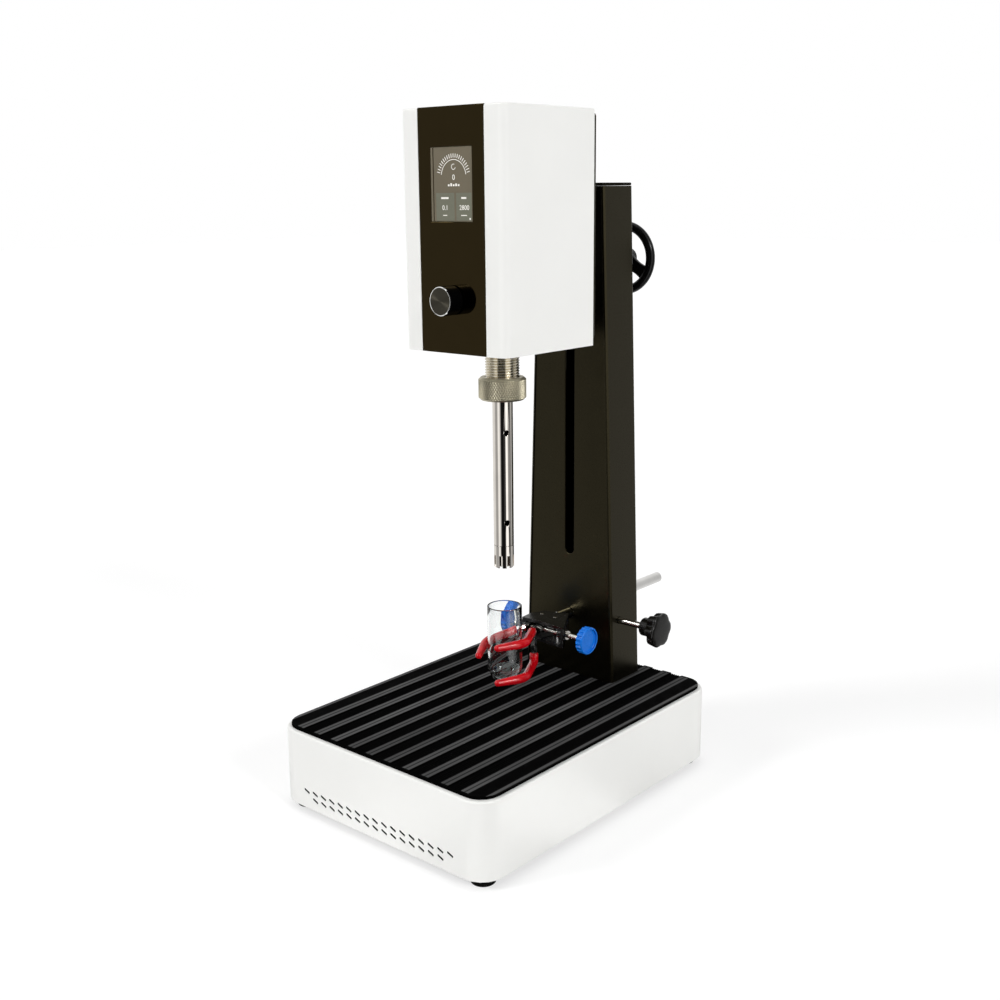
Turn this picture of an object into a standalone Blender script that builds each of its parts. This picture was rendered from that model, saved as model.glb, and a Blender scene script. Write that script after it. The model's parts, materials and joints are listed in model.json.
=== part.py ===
"""High-speed homogenizer on a stand: motor head on a slotted column, dispersing probe, vessel clamp.

Metres, +Z up. The origin is on the floor under the centre of the base, the front faces -Y.
"""

import math

import bmesh
import bpy
from mathutils import Matrix, Vector

# Running and assembly clearances
SEAT_GAP = 0.0003
RUNNING_GAP = 0.0004
SLOT_GAP = 0.0006
CUT_OVERRUN = 0.004
WELD_DISTANCE = 0.000001

# Round shapes
FINE_SIDES = 32
ROUND_SIDES = 24
SMALL_SIDES = 16
CORNER_SEGMENTS = 5
EDGE_SEGMENTS = 2
SHARP_ANGLE = math.radians(35)

# Base
BASE_WIDTH = 0.246
BASE_DEPTH = 0.3246
BASE_BOTTOM = 0.008
BASE_HEIGHT = 0.0684
BASE_CORNER_RADIUS = 0.022
BASE_EDGE_RADIUS = 0.0022
BASE_WALL = 0.0025
BASE_PLATE_THICKNESS = 0.002
FOOT_RADIUS = 0.0105
FOOT_INSET = 0.018
FOOT_CHAMFER = 0.001

# Ribbed mat on the base
MAT_INSET = 0.0036
MAT_CORNER_RADIUS = 0.0185
MAT_THICKNESS = 0.0027
MAT_BAND_DEPTH = 0.0013
MAT_RIB_HEIGHT = 0.0007
MAT_STRIP_PITCH = 0.02165
MAT_STRIP_WIDTH = 0.0100
MAT_RIBS_PER_BAND = 5

# Front vents of the base
VENT_PITCH = 0.01075
VENT_UPPER_COUNT = 17
VENT_LOWER_COUNT = 15
VENT_UPPER_RISE = 0.0160
VENT_LOWER_RISE = 0.0096
VENT_LENGTH = 0.0074
VENT_WIDTH = 0.0026
VENT_SLANT = math.radians(22)
VENT_SIDES = 6

# Column
COLUMN_REAR_MARGIN = 0.0182
COLUMN_DEPTH = 0.0449
COLUMN_HEIGHT = 0.4643
COLUMN_TOP_WIDTH = 0.0744
COLUMN_FOOT_WIDTH = 0.1050
COLUMN_WALL = 0.0025
COLUMN_EDGE_RADIUS = 0.0030
FRONT_PLATE_SETBACK = 0.0013
FRONT_PLATE_THICKNESS = 0.0025
COLUMN_CAP_THICKNESS = 0.0025
COLUMN_SLOT_WIDTH = 0.0110
COLUMN_SLOT_RISE = 0.1213
COLUMN_SLOT_END_SPARE = 0.0020
COLUMN_FOOT_HEIGHT = 0.0100
COLUMN_FOOT_INSET = 0.0100

# Lift: rods, carriage, rack and pinion
LIFT_DOWN = 0.100
LIFT_UP = 0.020
GUIDE_ROD_RADIUS = 0.0040
GUIDE_ROD_SPREAD = 0.0560
GUIDE_ROD_SETBACK = 0.0130
CARRIAGE_WIDTH = 0.0670
CARRIAGE_DEPTH = 0.0185
CARRIAGE_HEIGHT = 0.0640
CARRIAGE_DROP = 0.0677
CARRIAGE_EDGE = 0.0015
NECK_HEIGHT = 0.0560
GEAR_MODULE = 0.0010
PINION_TEETH = 18
PINION_X = 0.0170
PINION_WIDTH = 0.0080
TOOTH_SHARE = 0.40
ADDENDUM_SHARE = 0.80
DEDENDUM_SHARE = 1.20
PRESSURE_ANGLE = math.radians(20)
RACK_WIDTH = 0.0090
RACK_BACKING = 0.0080
RACK_END_SPARE = 0.0120
PINION_SHAFT_RADIUS = 0.0040
BEARING_BLOCK_RADIUS = 0.0085
BEARING_BLOCK_LENGTH = 0.0055
REAR_SLOT_SPARE = 0.0040

# Handwheel behind the column
WHEEL_RADIUS = 0.0335
WHEEL_RIM_RADIUS = 0.0042
WHEEL_STANDOFF = 0.0165
WHEEL_HUB_RADIUS = 0.0090
WHEEL_HUB_LENGTH = 0.0180
WHEEL_SPOKES = 3
WHEEL_SPOKE_WIDTH = 0.0120
WHEEL_SPOKE_THICKNESS = 0.0045
WHEEL_RIM_SIDES = 8

# Motor head
HEAD_WIDTH = 0.1140
HEAD_DEPTH = 0.1149
HEAD_STANDOFF = 0.0392
HEAD_DROP = 0.0691
HEAD_HEIGHT = 0.1965
HEAD_CORNER_RADIUS = 0.0075
HEAD_EDGE_RADIUS = 0.0020
HEAD_WALL = 0.0025
PANEL_WIDTH = 0.0716
PANEL_THICKNESS = 0.0030
BACK_PLATE_THICKNESS = 0.0065
BACK_PLATE_INSET = 0.0030
BACK_PLATE_LIFT = 0.0050
BOTTOM_PLATE_THICKNESS = 0.0060
DISPLAY_WIDTH = 0.0450
DISPLAY_RISE = 0.1068
DISPLAY_HEIGHT = 0.0582
DISPLAY_DEPTH = 0.0070
DISPLAY_SETBACK = 0.0004
BOARD_THICKNESS = 0.0016
BOARD_MARGIN = 0.0040
BOARD_BLOCK_COUNT = 3
BOARD_BLOCK_SIZE = 0.0120
BOARD_BLOCK_HEIGHT = 0.0050

# Control knob and encoder
KNOB_RISE = 0.0439
KNOB_RADIUS = 0.0121
KNOB_LENGTH = 0.0145
KNOB_STANDOFF = 0.0011
KNOB_EDGE = 0.0012
KNOB_FACE_RADIUS = 0.0100
KNOB_FACE_THICKNESS = 0.0012
KNOB_PRESS = 0.0006
ENCODER_SIZE = 0.0140
ENCODER_LENGTH = 0.0100
ENCODER_SHAFT_RADIUS = 0.0030
ENCODER_SHAFT_LENGTH = 0.0170
PLUNGER_LENGTH = 0.0030

# Motor and drive line
DRIVE_SETBACK = 0.0605
MOTOR_RADIUS = 0.0380
MOTOR_LENGTH = 0.1150
MOTOR_END_STEP = 0.0060
MOTOR_END_RADIUS = 0.0300
BEARING_RADIUS = 0.0110
BEARING_WIDTH = 0.0070
MOTOR_SHAFT_RADIUS = 0.0040
MOTOR_SHAFT_TAIL = 0.0060
COUPLING_RADIUS = 0.0075
COUPLING_LENGTH = 0.0160
COLLAR_RADIUS = 0.0150
COLLAR_BORE_RADIUS = 0.0092
COLLAR_DROP = 0.0364
COLLAR_FLANGE_RADIUS = 0.0190
COLLAR_FLANGE_THICKNESS = 0.0030
COLLAR_CHAMFER = 0.0010

# Knurled nut
NUT_RADIUS = 0.0208
NUT_HEIGHT = 0.0197
NUT_CHAMFER = 0.0018
NUT_LIP = 0.0054

# Dispersing probe
PROBE_RADIUS = 0.0090
PROBE_BORE_RADIUS = 0.0073
PROBE_REACH = 0.1513
STATOR_LENGTH = 0.0203
PROBE_FLANGE_RADIUS = 0.0138
PROBE_FLANGE_THICKNESS = 0.0030
PORT_RADIUS = 0.0027
PORT_UPPER_RISE = 0.1019
PORT_LOWER_RISE = 0.0212
PORT_AZIMUTH = math.radians(-28)
STATOR_SLOTS = 8
STATOR_SLOT_WIDTH = 0.0030
STATOR_SLOT_HEIGHT = 0.0114
STATOR_TAPER = 0.0006
ROTOR_SHAFT_RADIUS = 0.0030
ROTOR_RADIUS = 0.0066
ROTOR_WALL = 0.0016
ROTOR_HEIGHT = 0.0130
ROTOR_RISE = 0.0012
ROTOR_HUB_THICKNESS = 0.0030
ROTOR_SLOTS = 4
ROTOR_SLOT_WIDTH = 0.0036

# Vessel clamp rod and star screw
ROD_RADIUS = 0.0053
ROD_RISE = 0.0621
ROD_REAR_REACH = 0.1079
ROD_CHAMFER = 0.0008
ROD_BLOCK_WIDTH = 0.0700
ROD_BLOCK_BELOW = 0.0130
ROD_BLOCK_ABOVE = 0.0230
STAR_SETBACK = 0.0138
STAR_SCREW_RADIUS = 0.0032
STAR_STANDOFF = 0.0275
STAR_HUB_LENGTH = 0.0085
STAR_HUB_RADIUS = 0.0086
STAR_KNOB_RADIUS = 0.0150
STAR_LOBE_DEPTH = 0.0018
STAR_KNOB_THICKNESS = 0.0130
STAR_LOBES = 6
# Rings of the lobes: (share of the thickness, share of the way from hub to rim, share of the lobe depth)
STAR_RING_SHARES = ((0.10, 0.52, 0.80), (0.30, 0.80, 1.00), (0.74, 0.97, 0.85), (1.00, 1.00, 0.50))
STAR_POINTS_PER_LOBE = 6
STAR_EDGE = 0.0015

# Clamp body: its corners are (x, distance behind the probe's axis)
CLAMP_ABOVE_ROD = 0.0055
CLAMP_HEIGHT = 0.0200
CLAMP_PLATE = 0.0030
CLAMP_FRONT_LEFT = (-0.0165, 0.0444)
CLAMP_FRONT_MIDDLE = (0.0030, 0.0454)
CLAMP_FRONT_RIGHT = (0.0340, 0.0424)
CLAMP_MIDDLE_LEFT = (-0.0175, 0.0574)
CLAMP_REAR_LEFT = (-0.0115, 0.0724)
CLAMP_REAR_RIGHT = (0.0125, 0.0784)
CLAMP_WEB_SETBACK = 0.0689
CLAMP_WEB_DEPTH = 0.0060
CLAMP_BOSS_RADIUS = 0.0080
CLAMP_BOSS_LENGTH = 0.0090
CLAMP_LUG_THICKNESS = 0.0040
CLAMP_LUG_DEPTH = 0.0100
SCREW_BOSS_RADIUS = 0.0048
SCREW_BOSS_RIGHT = (0.0250, 0.0325)
SCREW_BOSS_LEFT = (-0.0128, -0.0185)

# Jaws: elbows and tips are (x, distance behind the probe's axis)
JAW_PIVOT_X = 0.0080
JAW_PIVOT_SETBACK = 0.0639
JAW_PIN_RADIUS = 0.0020
JAW_HUB_RADIUS = 0.0045
JAW_ARM_THICKNESS = 0.0040
JAW_POST_SETBACK = 0.0399
JAW_POST_SIZE = 0.0040
JAW_POST_X = 0.0030
PRONG_RADIUS = 0.0022
SLEEVE_RADIUS = 0.0041
SLEEVE_TIP_RADIUS = 0.0032
SLEEVE_BARE_LENGTH = 0.0030
SLEEVE_TIP_LENGTH = 0.0022
RIGHT_UPPER_DROP = 0.0057
RIGHT_LOWER_DROP = 0.0388
LEFT_ROOT_DROP = 0.0060
LEFT_TIP_DROP = 0.0180
RIGHT_ELBOW = (0.0228, 0.0019)
RIGHT_TIP = (0.0104, -0.0262)
LEFT_ELBOW = (-0.0234, 0.0016)
LEFT_TIP = (-0.0091, -0.0268)
JAW_POST_LEFT_X = -0.0070
PRONG_SIDES = 10
SLEEVE_BEND_STEPS = 3
SLEEVE_BEND_LENGTH = 0.0060

# Thumb screws
THUMB_SETBACK = 0.0484
THUMB_DROP = 0.0080
THUMB_SCREW_RADIUS = 0.0024
THUMB_HOLE_CLEARANCE = 0.0012
THUMB_TIP_RIGHT = -0.0005
THUMB_TIP_LEFT = -0.0035
THUMB_KNOB_RADIUS = 0.0125
THUMB_KNOB_THICKNESS = 0.0072
THUMB_RIGHT_FACE = 0.0600
THUMB_LEFT_FACE = -0.0380
THUMB_FLUTES = 18
THUMB_FLUTE_DEPTH = 0.0010
THUMB_EDGE = 0.0007
THUMB_RIM_WIDTH = 0.0022
THUMB_DISH_DEPTH = 0.0010
THUMB_COLLAR_RADIUS = 0.0042
THUMB_COLLAR_LENGTH = 0.0020

# Glass vessel
GLASS_RADIUS = 0.01575
GLASS_WALL = 0.0015
GLASS_BELOW_CLAMP = 0.0470
GLASS_ABOVE_CLAMP = 0.0263
GLASS_ARC_STEPS = 5

# Power supply, inlet and switch
SUPPLY_WIDTH = 0.1100
SUPPLY_DEPTH = 0.0800
SUPPLY_HEIGHT = 0.0380
SUPPLY_Y = 0.0200
INLET_X = -0.0550
INLET_RISE = 0.0320
INLET_WIDTH = 0.0310
INLET_TALL = 0.0240
INLET_DEPTH = 0.0220
INLET_FLANGE = 0.0035
INLET_FLANGE_THICKNESS = 0.0022
INLET_SOCKET_WIDTH = 0.0240
INLET_SOCKET_TALL = 0.0165
INLET_SOCKET_DEPTH = 0.0165
INLET_PIN_WIDTH = 0.0020
INLET_PIN_TALL = 0.0040
INLET_PIN_SETBACK = 0.0055
INLET_PIN_SPACING = 0.0070
INLET_PIN_RISE = 0.0020
SWITCH_X = -0.0050
SWITCH_BEZEL_WIDTH = 0.0210
SWITCH_BEZEL_TALL = 0.0150
SWITCH_WALL = 0.0016
SWITCH_DEPTH = 0.0160
ROCKER_TILT = math.radians(7)
ROCKER_FACE_SLOPE = math.radians(12)
ROCKER_DEPTH = 0.0080
ROCKER_SETBACK = 0.0012
ROCKER_SWING_GAP = 0.0010

# Places that follow from the sizes above
BASE_TOP = BASE_BOTTOM + BASE_HEIGHT
MAT_HALF_WIDTH = BASE_WIDTH / 2 - MAT_INSET
MAT_STRIP_COUNT = int((2 * MAT_HALF_WIDTH - MAT_STRIP_WIDTH) / MAT_STRIP_PITCH)
INLET_HEIGHT = BASE_BOTTOM + INLET_RISE
COLUMN_REAR = BASE_DEPTH / 2 - COLUMN_REAR_MARGIN
COLUMN_FRONT = COLUMN_REAR - COLUMN_DEPTH
COLUMN_TOP = BASE_TOP + COLUMN_HEIGHT
CARRIAGE_MIDDLE = COLUMN_TOP - CARRIAGE_DROP
HEAD_REAR = COLUMN_FRONT - HEAD_STANDOFF
HEAD_FRONT = HEAD_REAR - HEAD_DEPTH
HEAD_BOTTOM = CARRIAGE_MIDDLE - HEAD_DROP
HEAD_TOP = HEAD_BOTTOM + HEAD_HEIGHT
DISPLAY_BOTTOM = HEAD_BOTTOM + DISPLAY_RISE
KNOB_HEIGHT = HEAD_BOTTOM + KNOB_RISE
DRIVE_Y = HEAD_FRONT + DRIVE_SETBACK
COLLAR_BOTTOM = HEAD_BOTTOM - COLLAR_DROP
NUT_BOTTOM = COLLAR_BOTTOM - 2 * SEAT_GAP - PROBE_FLANGE_THICKNESS - NUT_LIP
PROBE_TIP = NUT_BOTTOM - PROBE_REACH
ROD_HEIGHT = BASE_TOP + ROD_RISE
ROD_REAR_END = COLUMN_REAR + ROD_REAR_REACH
STAR_Y = COLUMN_FRONT + STAR_SETBACK
CLAMP_TOP = ROD_HEIGHT + CLAMP_ABOVE_ROD
CLAMP_WEB_Y = DRIVE_Y + CLAMP_WEB_SETBACK
JAW_PIVOT_Y = DRIVE_Y + JAW_PIVOT_SETBACK
JAW_POST_Y = DRIVE_Y + JAW_POST_SETBACK
THUMB_Y = DRIVE_Y + THUMB_SETBACK
THUMB_HEIGHT = CLAMP_TOP - THUMB_DROP
GLASS_BOTTOM = CLAMP_TOP - GLASS_BELOW_CLAMP
GLASS_RIM = CLAMP_TOP + GLASS_ABOVE_CLAMP

# Colours as red, green, blue, then metallic and roughness
WHITE_PAINT = ((0.86, 0.86, 0.85), 0.0, 0.38)
BLACK_PAINT = ((0.020, 0.019, 0.018), 0.0, 0.45)
BLACK_GLOSS = ((0.024, 0.019, 0.016), 0.0, 0.12)
BLACK_RUBBER = ((0.018, 0.018, 0.018), 0.0, 0.70)
BLACK_PLASTIC = ((0.022, 0.022, 0.022), 0.0, 0.40)
SCREEN_GREY = ((0.17, 0.155, 0.145), 0.0, 0.20)
BRIGHT_STEEL = ((0.72, 0.71, 0.69), 1.0, 0.18)
NUT_STEEL = ((0.42, 0.41, 0.39), 1.0, 0.38)
ALUMINIUM = ((0.62, 0.62, 0.63), 1.0, 0.40)
BOARD_GREEN = ((0.03, 0.16, 0.07), 0.0, 0.50)
RED_VINYL = ((0.62, 0.012, 0.020), 0.0, 0.28)
BLUE_PLASTIC = ((0.02, 0.20, 0.62), 0.0, 0.35)
CLEAR_GLASS = ((0.93, 0.96, 0.96), 0.0, 0.03)


def column_bottom():
    return BASE_TOP + SEAT_GAP


def column_half_width(height):
    """Half the column's outer width at a height: it tapers evenly from the foot to the top."""
    rise = (height - column_bottom()) / (COLUMN_TOP - column_bottom())
    return (COLUMN_FOOT_WIDTH + (COLUMN_TOP_WIDTH - COLUMN_FOOT_WIDTH) * rise) / 2


def back_plate_rear():
    return HEAD_REAR + SEAT_GAP + BACK_PLATE_THICKNESS


def pitch_radius():
    return GEAR_MODULE * PINION_TEETH / 2


def clear_scene():
    for old in list(bpy.data.objects):
        bpy.data.objects.remove(old, do_unlink=True)


def make_collection(name, hidden=False):
    made = bpy.data.collections.new(name)
    bpy.context.scene.collection.children.link(made)
    made.hide_render = hidden
    return made


clear_scene()
PARTS = make_collection("homogenizer")
CUTTERS = make_collection("cutters", hidden=True)


def material_of(name, finish):
    """A Principled material in the piece's colour, metallic and roughness values."""
    colour, metallic, roughness = finish
    made = bpy.data.materials.new(name)
    made.use_nodes = True
    shader = made.node_tree.nodes["Principled BSDF"]
    shader.inputs["Base Color"].default_value = (*colour, 1.0)
    shader.inputs["Metallic"].default_value = metallic
    shader.inputs["Roughness"].default_value = roughness
    made.diffuse_color = (*colour, 1.0)
    return made


def object_from(name, shape, origin=(0, 0, 0)):
    """An object from a bmesh given in world places, with its own origin where asked."""
    shape.transform(Matrix.Translation(-Vector(origin)))
    mesh = bpy.data.meshes.new(name)
    shape.to_mesh(mesh)
    shape.free()
    made = bpy.data.objects.new(name, mesh)
    made.location = origin
    return made


def finish(made, look):
    """Puts a piece in the parts collection with its material and smooth shading."""
    PARTS.objects.link(made)
    made.data.materials.clear()
    made.data.materials.append(material_of(made.name, look))
    made.data.shade_smooth()
    made.data.set_sharp_from_angle(angle=SHARP_ANGLE)
    return made


def as_cutter(made):
    CUTTERS.objects.link(made)
    made.hide_render = True
    made.display_type = "WIRE"
    return made


def boolean(target, tool, operation):
    modifier = target.modifiers.new(operation.lower(), "BOOLEAN")
    modifier.operation = operation
    modifier.solver = "EXACT"
    modifier.object = tool
    return target


def cut(target, tool):
    return boolean(target, as_cutter(tool), "DIFFERENCE")


def join(target, tool):
    return boolean(target, as_cutter(tool), "UNION")


def box_shape(low, high):
    """A box between two corners, from the cube primitive."""
    shape = bmesh.new()
    bmesh.ops.create_cube(shape, size=1)
    low, high = Vector(low), Vector(high)
    size = Matrix.Diagonal((*(high - low), 1))
    shape.transform(Matrix.Translation((low + high) / 2) @ size)
    return shape


def bevel_edges(shape, chosen, radius, segments):
    bmesh.ops.bevel(shape, geom=chosen, offset=radius, segments=segments, profile=0.5, affect="EDGES")


def edges_along(shape, axis, test=None):
    """Edges that run along an axis, and pass a test on their middle point where one is given."""
    chosen = []
    for edge in shape.edges:
        run = edge.verts[1].co - edge.verts[0].co
        middle = (edge.verts[1].co + edge.verts[0].co) / 2
        straight = abs(run[axis]) > 0.99 * run.length
        if straight and (test is None or test(middle)):
            chosen.append(edge)
    return chosen


def block(name, low, high, look=None, corner=0, segments=EDGE_SEGMENTS, axis=2, origin=(0, 0, 0)):
    """A box piece whose edges along one axis are rounded. Without a look it is left for a cut."""
    shape = box_shape(low, high)
    if corner:
        bevel_edges(shape, edges_along(shape, axis), corner, segments)
    made = object_from(name, shape, origin)
    return finish(made, look) if look else made


def axis_turn(axis):
    """The rotation that takes +Z to the named axis."""
    return {
        "X": Matrix.Rotation(math.pi / 2, 4, "Y"),
        "Y": Matrix.Rotation(-math.pi / 2, 4, "X"),
        "Z": Matrix.Identity(4),
    }[axis]


def rod_shape(radius, start, end, sides, end_radius=None, chamfer=0):
    """A round bar or cone between two points."""
    start, end = Vector(start), Vector(end)
    run = end - start
    shape = bmesh.new()
    bmesh.ops.create_cone(
        shape,
        cap_ends=True,
        segments=sides,
        radius1=radius,
        radius2=radius if end_radius is None else end_radius,
        depth=run.length,
    )
    if chamfer:
        rims = [edge for edge in shape.edges if abs(edge.verts[0].co.z - edge.verts[1].co.z) < WELD_DISTANCE]
        bevel_edges(shape, rims, chamfer, 1)
    turn = run.to_track_quat("Z", "Y").to_matrix().to_4x4()
    shape.transform(Matrix.Translation((start + end) / 2) @ turn)
    return shape


def bar(name, radius, start, end, look=None, sides=ROUND_SIDES, origin=(0, 0, 0), chamfer=0):
    made = object_from(name, rod_shape(radius, start, end, sides, chamfer=chamfer), origin)
    return finish(made, look) if look else made


def mesh_from(maker):
    """Turns a curve or a modified object into a plain mesh object in world places, caps welded."""
    bpy.context.scene.collection.objects.link(maker)
    bpy.context.view_layer.update()
    graph = bpy.context.evaluated_depsgraph_get()
    mesh = bpy.data.meshes.new_from_object(maker.evaluated_get(graph))
    mesh.transform(maker.matrix_world)
    shape = bmesh.new()
    shape.from_mesh(mesh)
    bmesh.ops.remove_doubles(shape, verts=shape.verts, dist=WELD_DISTANCE)
    bmesh.ops.recalc_face_normals(shape, faces=shape.faces)
    bpy.data.objects.remove(maker, do_unlink=True)
    return shape


def turned(name, profile, centre, axis="Z", look=None, sides=ROUND_SIDES):
    """A turned piece: a closed profile of (radius, place along the axis) points swept by Screw.

    The places along the axis are world values. The piece's origin is on its axis at centre.
    """
    mesh = bpy.data.meshes.new(name)
    along = Vector(centre)["XYZ".index(axis)]
    points = [(radius, 0, place - along) for radius, place in profile]
    count = len(points)
    on_axis = any(radius == 0 for radius, place in profile)
    edges = [(i, i + 1) for i in range(count - 1)] + ([] if on_axis else [(count - 1, 0)])
    mesh.from_pydata(points, edges, [])
    maker = bpy.data.objects.new(name, mesh)
    screw = maker.modifiers.new("turn", "SCREW")
    screw.steps = screw.render_steps = sides
    screw.use_merge_vertices = True
    screw.merge_threshold = WELD_DISTANCE
    shape = mesh_from(maker)
    shape.transform(Matrix.Translation(centre) @ axis_turn(axis))
    made = object_from(name, shape, centre)
    return finish(made, look) if look else made


def outline_solid(name, outline, low, high, axis="Z", look=None, origin=(0, 0, 0)):
    """A flat outline as a filled 2D curve, extruded between two places along an axis.

    For Z the outline is (x, y), for Y it is (x, z), for X it is (y, z).
    """
    data = bpy.data.curves.new(name, "CURVE")
    data.dimensions = "2D"
    data.fill_mode = "BOTH"
    data.extrude = (high - low) / 2
    spline = data.splines.new("POLY")
    spline.points.add(len(outline) - 1)
    for point, (u, v) in zip(spline.points, outline):
        point.co = (u, v, 0, 1)
    spline.use_cyclic_u = True
    maker = bpy.data.objects.new(name, data)
    middle = (low + high) / 2
    swap = {
        "Z": Matrix(((1, 0, 0, 0), (0, 1, 0, 0), (0, 0, 1, middle), (0, 0, 0, 1))),
        "Y": Matrix(((1, 0, 0, 0), (0, 0, -1, middle), (0, 1, 0, 0), (0, 0, 0, 1))),
        "X": Matrix(((0, 0, 1, middle), (1, 0, 0, 0), (0, 1, 0, 0), (0, 0, 0, 1))),
    }[axis]
    shape = mesh_from(maker)
    shape.transform(swap)
    bmesh.ops.recalc_face_normals(shape, faces=shape.faces)
    made = object_from(name, shape, origin)
    return finish(made, look) if look else made


def lofted(name, rings, look=None, origin=(0, 0, 0)):
    """A closed body through rings with as many points each, with a flat face at both ends."""
    shape = bmesh.new()
    rows = [[shape.verts.new(place) for place in ring] for ring in rings]
    for near, far in zip(rows, rows[1:]):
        for index in range(len(near)):
            shape.faces.new((near[index - 1], near[index], far[index], far[index - 1]))
    shape.faces.new(rows[0])
    shape.faces.new(rows[-1])
    bmesh.ops.recalc_face_normals(shape, faces=shape.faces)
    made = object_from(name, shape, origin)
    return finish(made, look) if look else made


def wire_solid(name, points, radius, origin=(0, 0, 0), look=None, resolution=1, end_radius=None):
    """A round wire through points, from a curve with a bevel depth and filled caps.

    Its last stretch narrows to the end radius where one is given.
    """
    data = bpy.data.curves.new(name, "CURVE")
    data.dimensions = "3D"
    data.bevel_depth = radius
    data.bevel_resolution = resolution
    data.use_fill_caps = True
    spline = data.splines.new("POLY")
    spline.points.add(len(points) - 1)
    for point, place in zip(spline.points, points):
        point.co = (*place, 1)
    if end_radius is not None:
        spline.points[-1].radius = end_radius / radius
    shape = mesh_from(bpy.data.objects.new(name, data))
    made = object_from(name, shape, origin)
    return finish(made, look) if look else made


def tapered_column(name, front, rear, bottom, top, inset):
    """A box that follows the column's taper, inset from its side faces."""
    shape = box_shape((-1, front, bottom), (1, rear, top))
    for vert in shape.verts:
        vert.co.x *= column_half_width(vert.co.z) - inset
    return shape


def merged_shapes(shapes):
    """Several bmesh shapes that don't touch, as one bmesh."""
    whole = bmesh.new()
    for shape in shapes:
        mesh = bpy.data.meshes.new("part_of_group")
        shape.to_mesh(mesh)
        shape.free()
        whole.from_mesh(mesh)
        bpy.data.meshes.remove(mesh)
    return whole


def open_shell(name, low, high, corner, rim, wall, open_faces, look):
    """A rounded box with some faces left open and a wall that grows inwards.

    The upright edges and the top rim are rounded, apart from those that border an open face.
    """
    shape = box_shape(low, high)
    gone = [face for face in shape.faces if any(face.normal.dot(Vector(way)) > 0.999 for way in open_faces)]
    open_edges = {edge for face in gone if abs(face.normal.z) < 0.5 for edge in face.edges}
    bmesh.ops.delete(shape, geom=gone, context="FACES_ONLY")
    upright = [edge for edge in edges_along(shape, 2) if edge not in open_edges]
    bevel_edges(shape, upright, corner, CORNER_SEGMENTS)
    top_rim = [
        edge
        for edge in shape.edges
        if len(edge.link_faces) == 2 and all(abs(vert.co.z - high[2]) < WELD_DISTANCE for vert in edge.verts)
    ]
    bevel_edges(shape, top_rim, rim, EDGE_SEGMENTS)
    made = object_from(name, shape)
    solid = made.modifiers.new("wall", "SOLIDIFY")
    solid.thickness = wall
    solid.offset = -1
    solid.use_even_offset = True
    return finish(made, look)


def vent_cutter(name, count, height):
    """A row of slanted round-ended slots through the front wall of the base."""
    shapes = []
    for index in range(count):
        x = (index - (count - 1) / 2) * VENT_PITCH
        slot = rod_shape(
            VENT_WIDTH / 2,
            (0, -BASE_DEPTH / 2 - CUT_OVERRUN, 0),
            (0, -BASE_DEPTH / 2 + BASE_WALL + CUT_OVERRUN, 0),
            VENT_SIDES,
        )
        slot.transform(Matrix.Rotation(math.pi / VENT_SIDES, 4, "Y"))
        stretch = (VENT_LENGTH - VENT_WIDTH) / 2
        for vert in slot.verts:
            vert.co.x += math.copysign(stretch, vert.co.x)
        slot.transform(Matrix.Translation((x, 0, height)) @ Matrix.Rotation(VENT_SLANT, 4, "Y"))
        shapes.append(slot)
    return object_from(name, merged_shapes(shapes))


def build_base():
    half_w, half_d = BASE_WIDTH / 2, BASE_DEPTH / 2
    housing = open_shell(
        "base_housing",
        (-half_w, -half_d, BASE_BOTTOM),
        (half_w, half_d, BASE_TOP),
        BASE_CORNER_RADIUS,
        BASE_EDGE_RADIUS,
        BASE_WALL,
        [(0, 0, -1)],
        WHITE_PAINT,
    )
    cut(housing, vent_cutter("upper_vents", VENT_UPPER_COUNT, BASE_BOTTOM + VENT_UPPER_RISE))
    cut(housing, vent_cutter("lower_vents", VENT_LOWER_COUNT, BASE_BOTTOM + VENT_LOWER_RISE))
    for name, x, width, tall in (
        ("inlet_window", INLET_X, INLET_WIDTH, INLET_TALL),
        ("switch_window", SWITCH_X, SWITCH_BEZEL_WIDTH, SWITCH_BEZEL_TALL),
    ):
        cut(
            housing,
            block(
                name,
                (x - width / 2 - SEAT_GAP, half_d - BASE_WALL - CUT_OVERRUN, INLET_HEIGHT - tall / 2 - SEAT_GAP),
                (x + width / 2 + SEAT_GAP, half_d + CUT_OVERRUN, INLET_HEIGHT + tall / 2 + SEAT_GAP),
            ),
        )
    inner = BASE_WALL + SEAT_GAP
    plate_low = BASE_BOTTOM + SEAT_GAP
    block(
        "base_plate",
        (-half_w + inner, -half_d + inner, plate_low),
        (half_w - inner, half_d - inner, plate_low + BASE_PLATE_THICKNESS),
        BLACK_PAINT,
        corner=BASE_CORNER_RADIUS - inner,
        segments=CORNER_SEGMENTS,
    )
    for side, x in (("left", -1), ("right", 1)):
        for end, y in (("front", -1), ("rear", 1)):
            place = Vector((x * (half_w - FOOT_INSET), y * (half_d - FOOT_INSET), 0))
            bar(
                f"foot_{end}_{side}",
                FOOT_RADIUS,
                place,
                place + Vector((0, 0, BASE_BOTTOM)),
                BLACK_RUBBER,
                sides=SMALL_SIDES,
                chamfer=FOOT_CHAMFER,
            )


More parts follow.
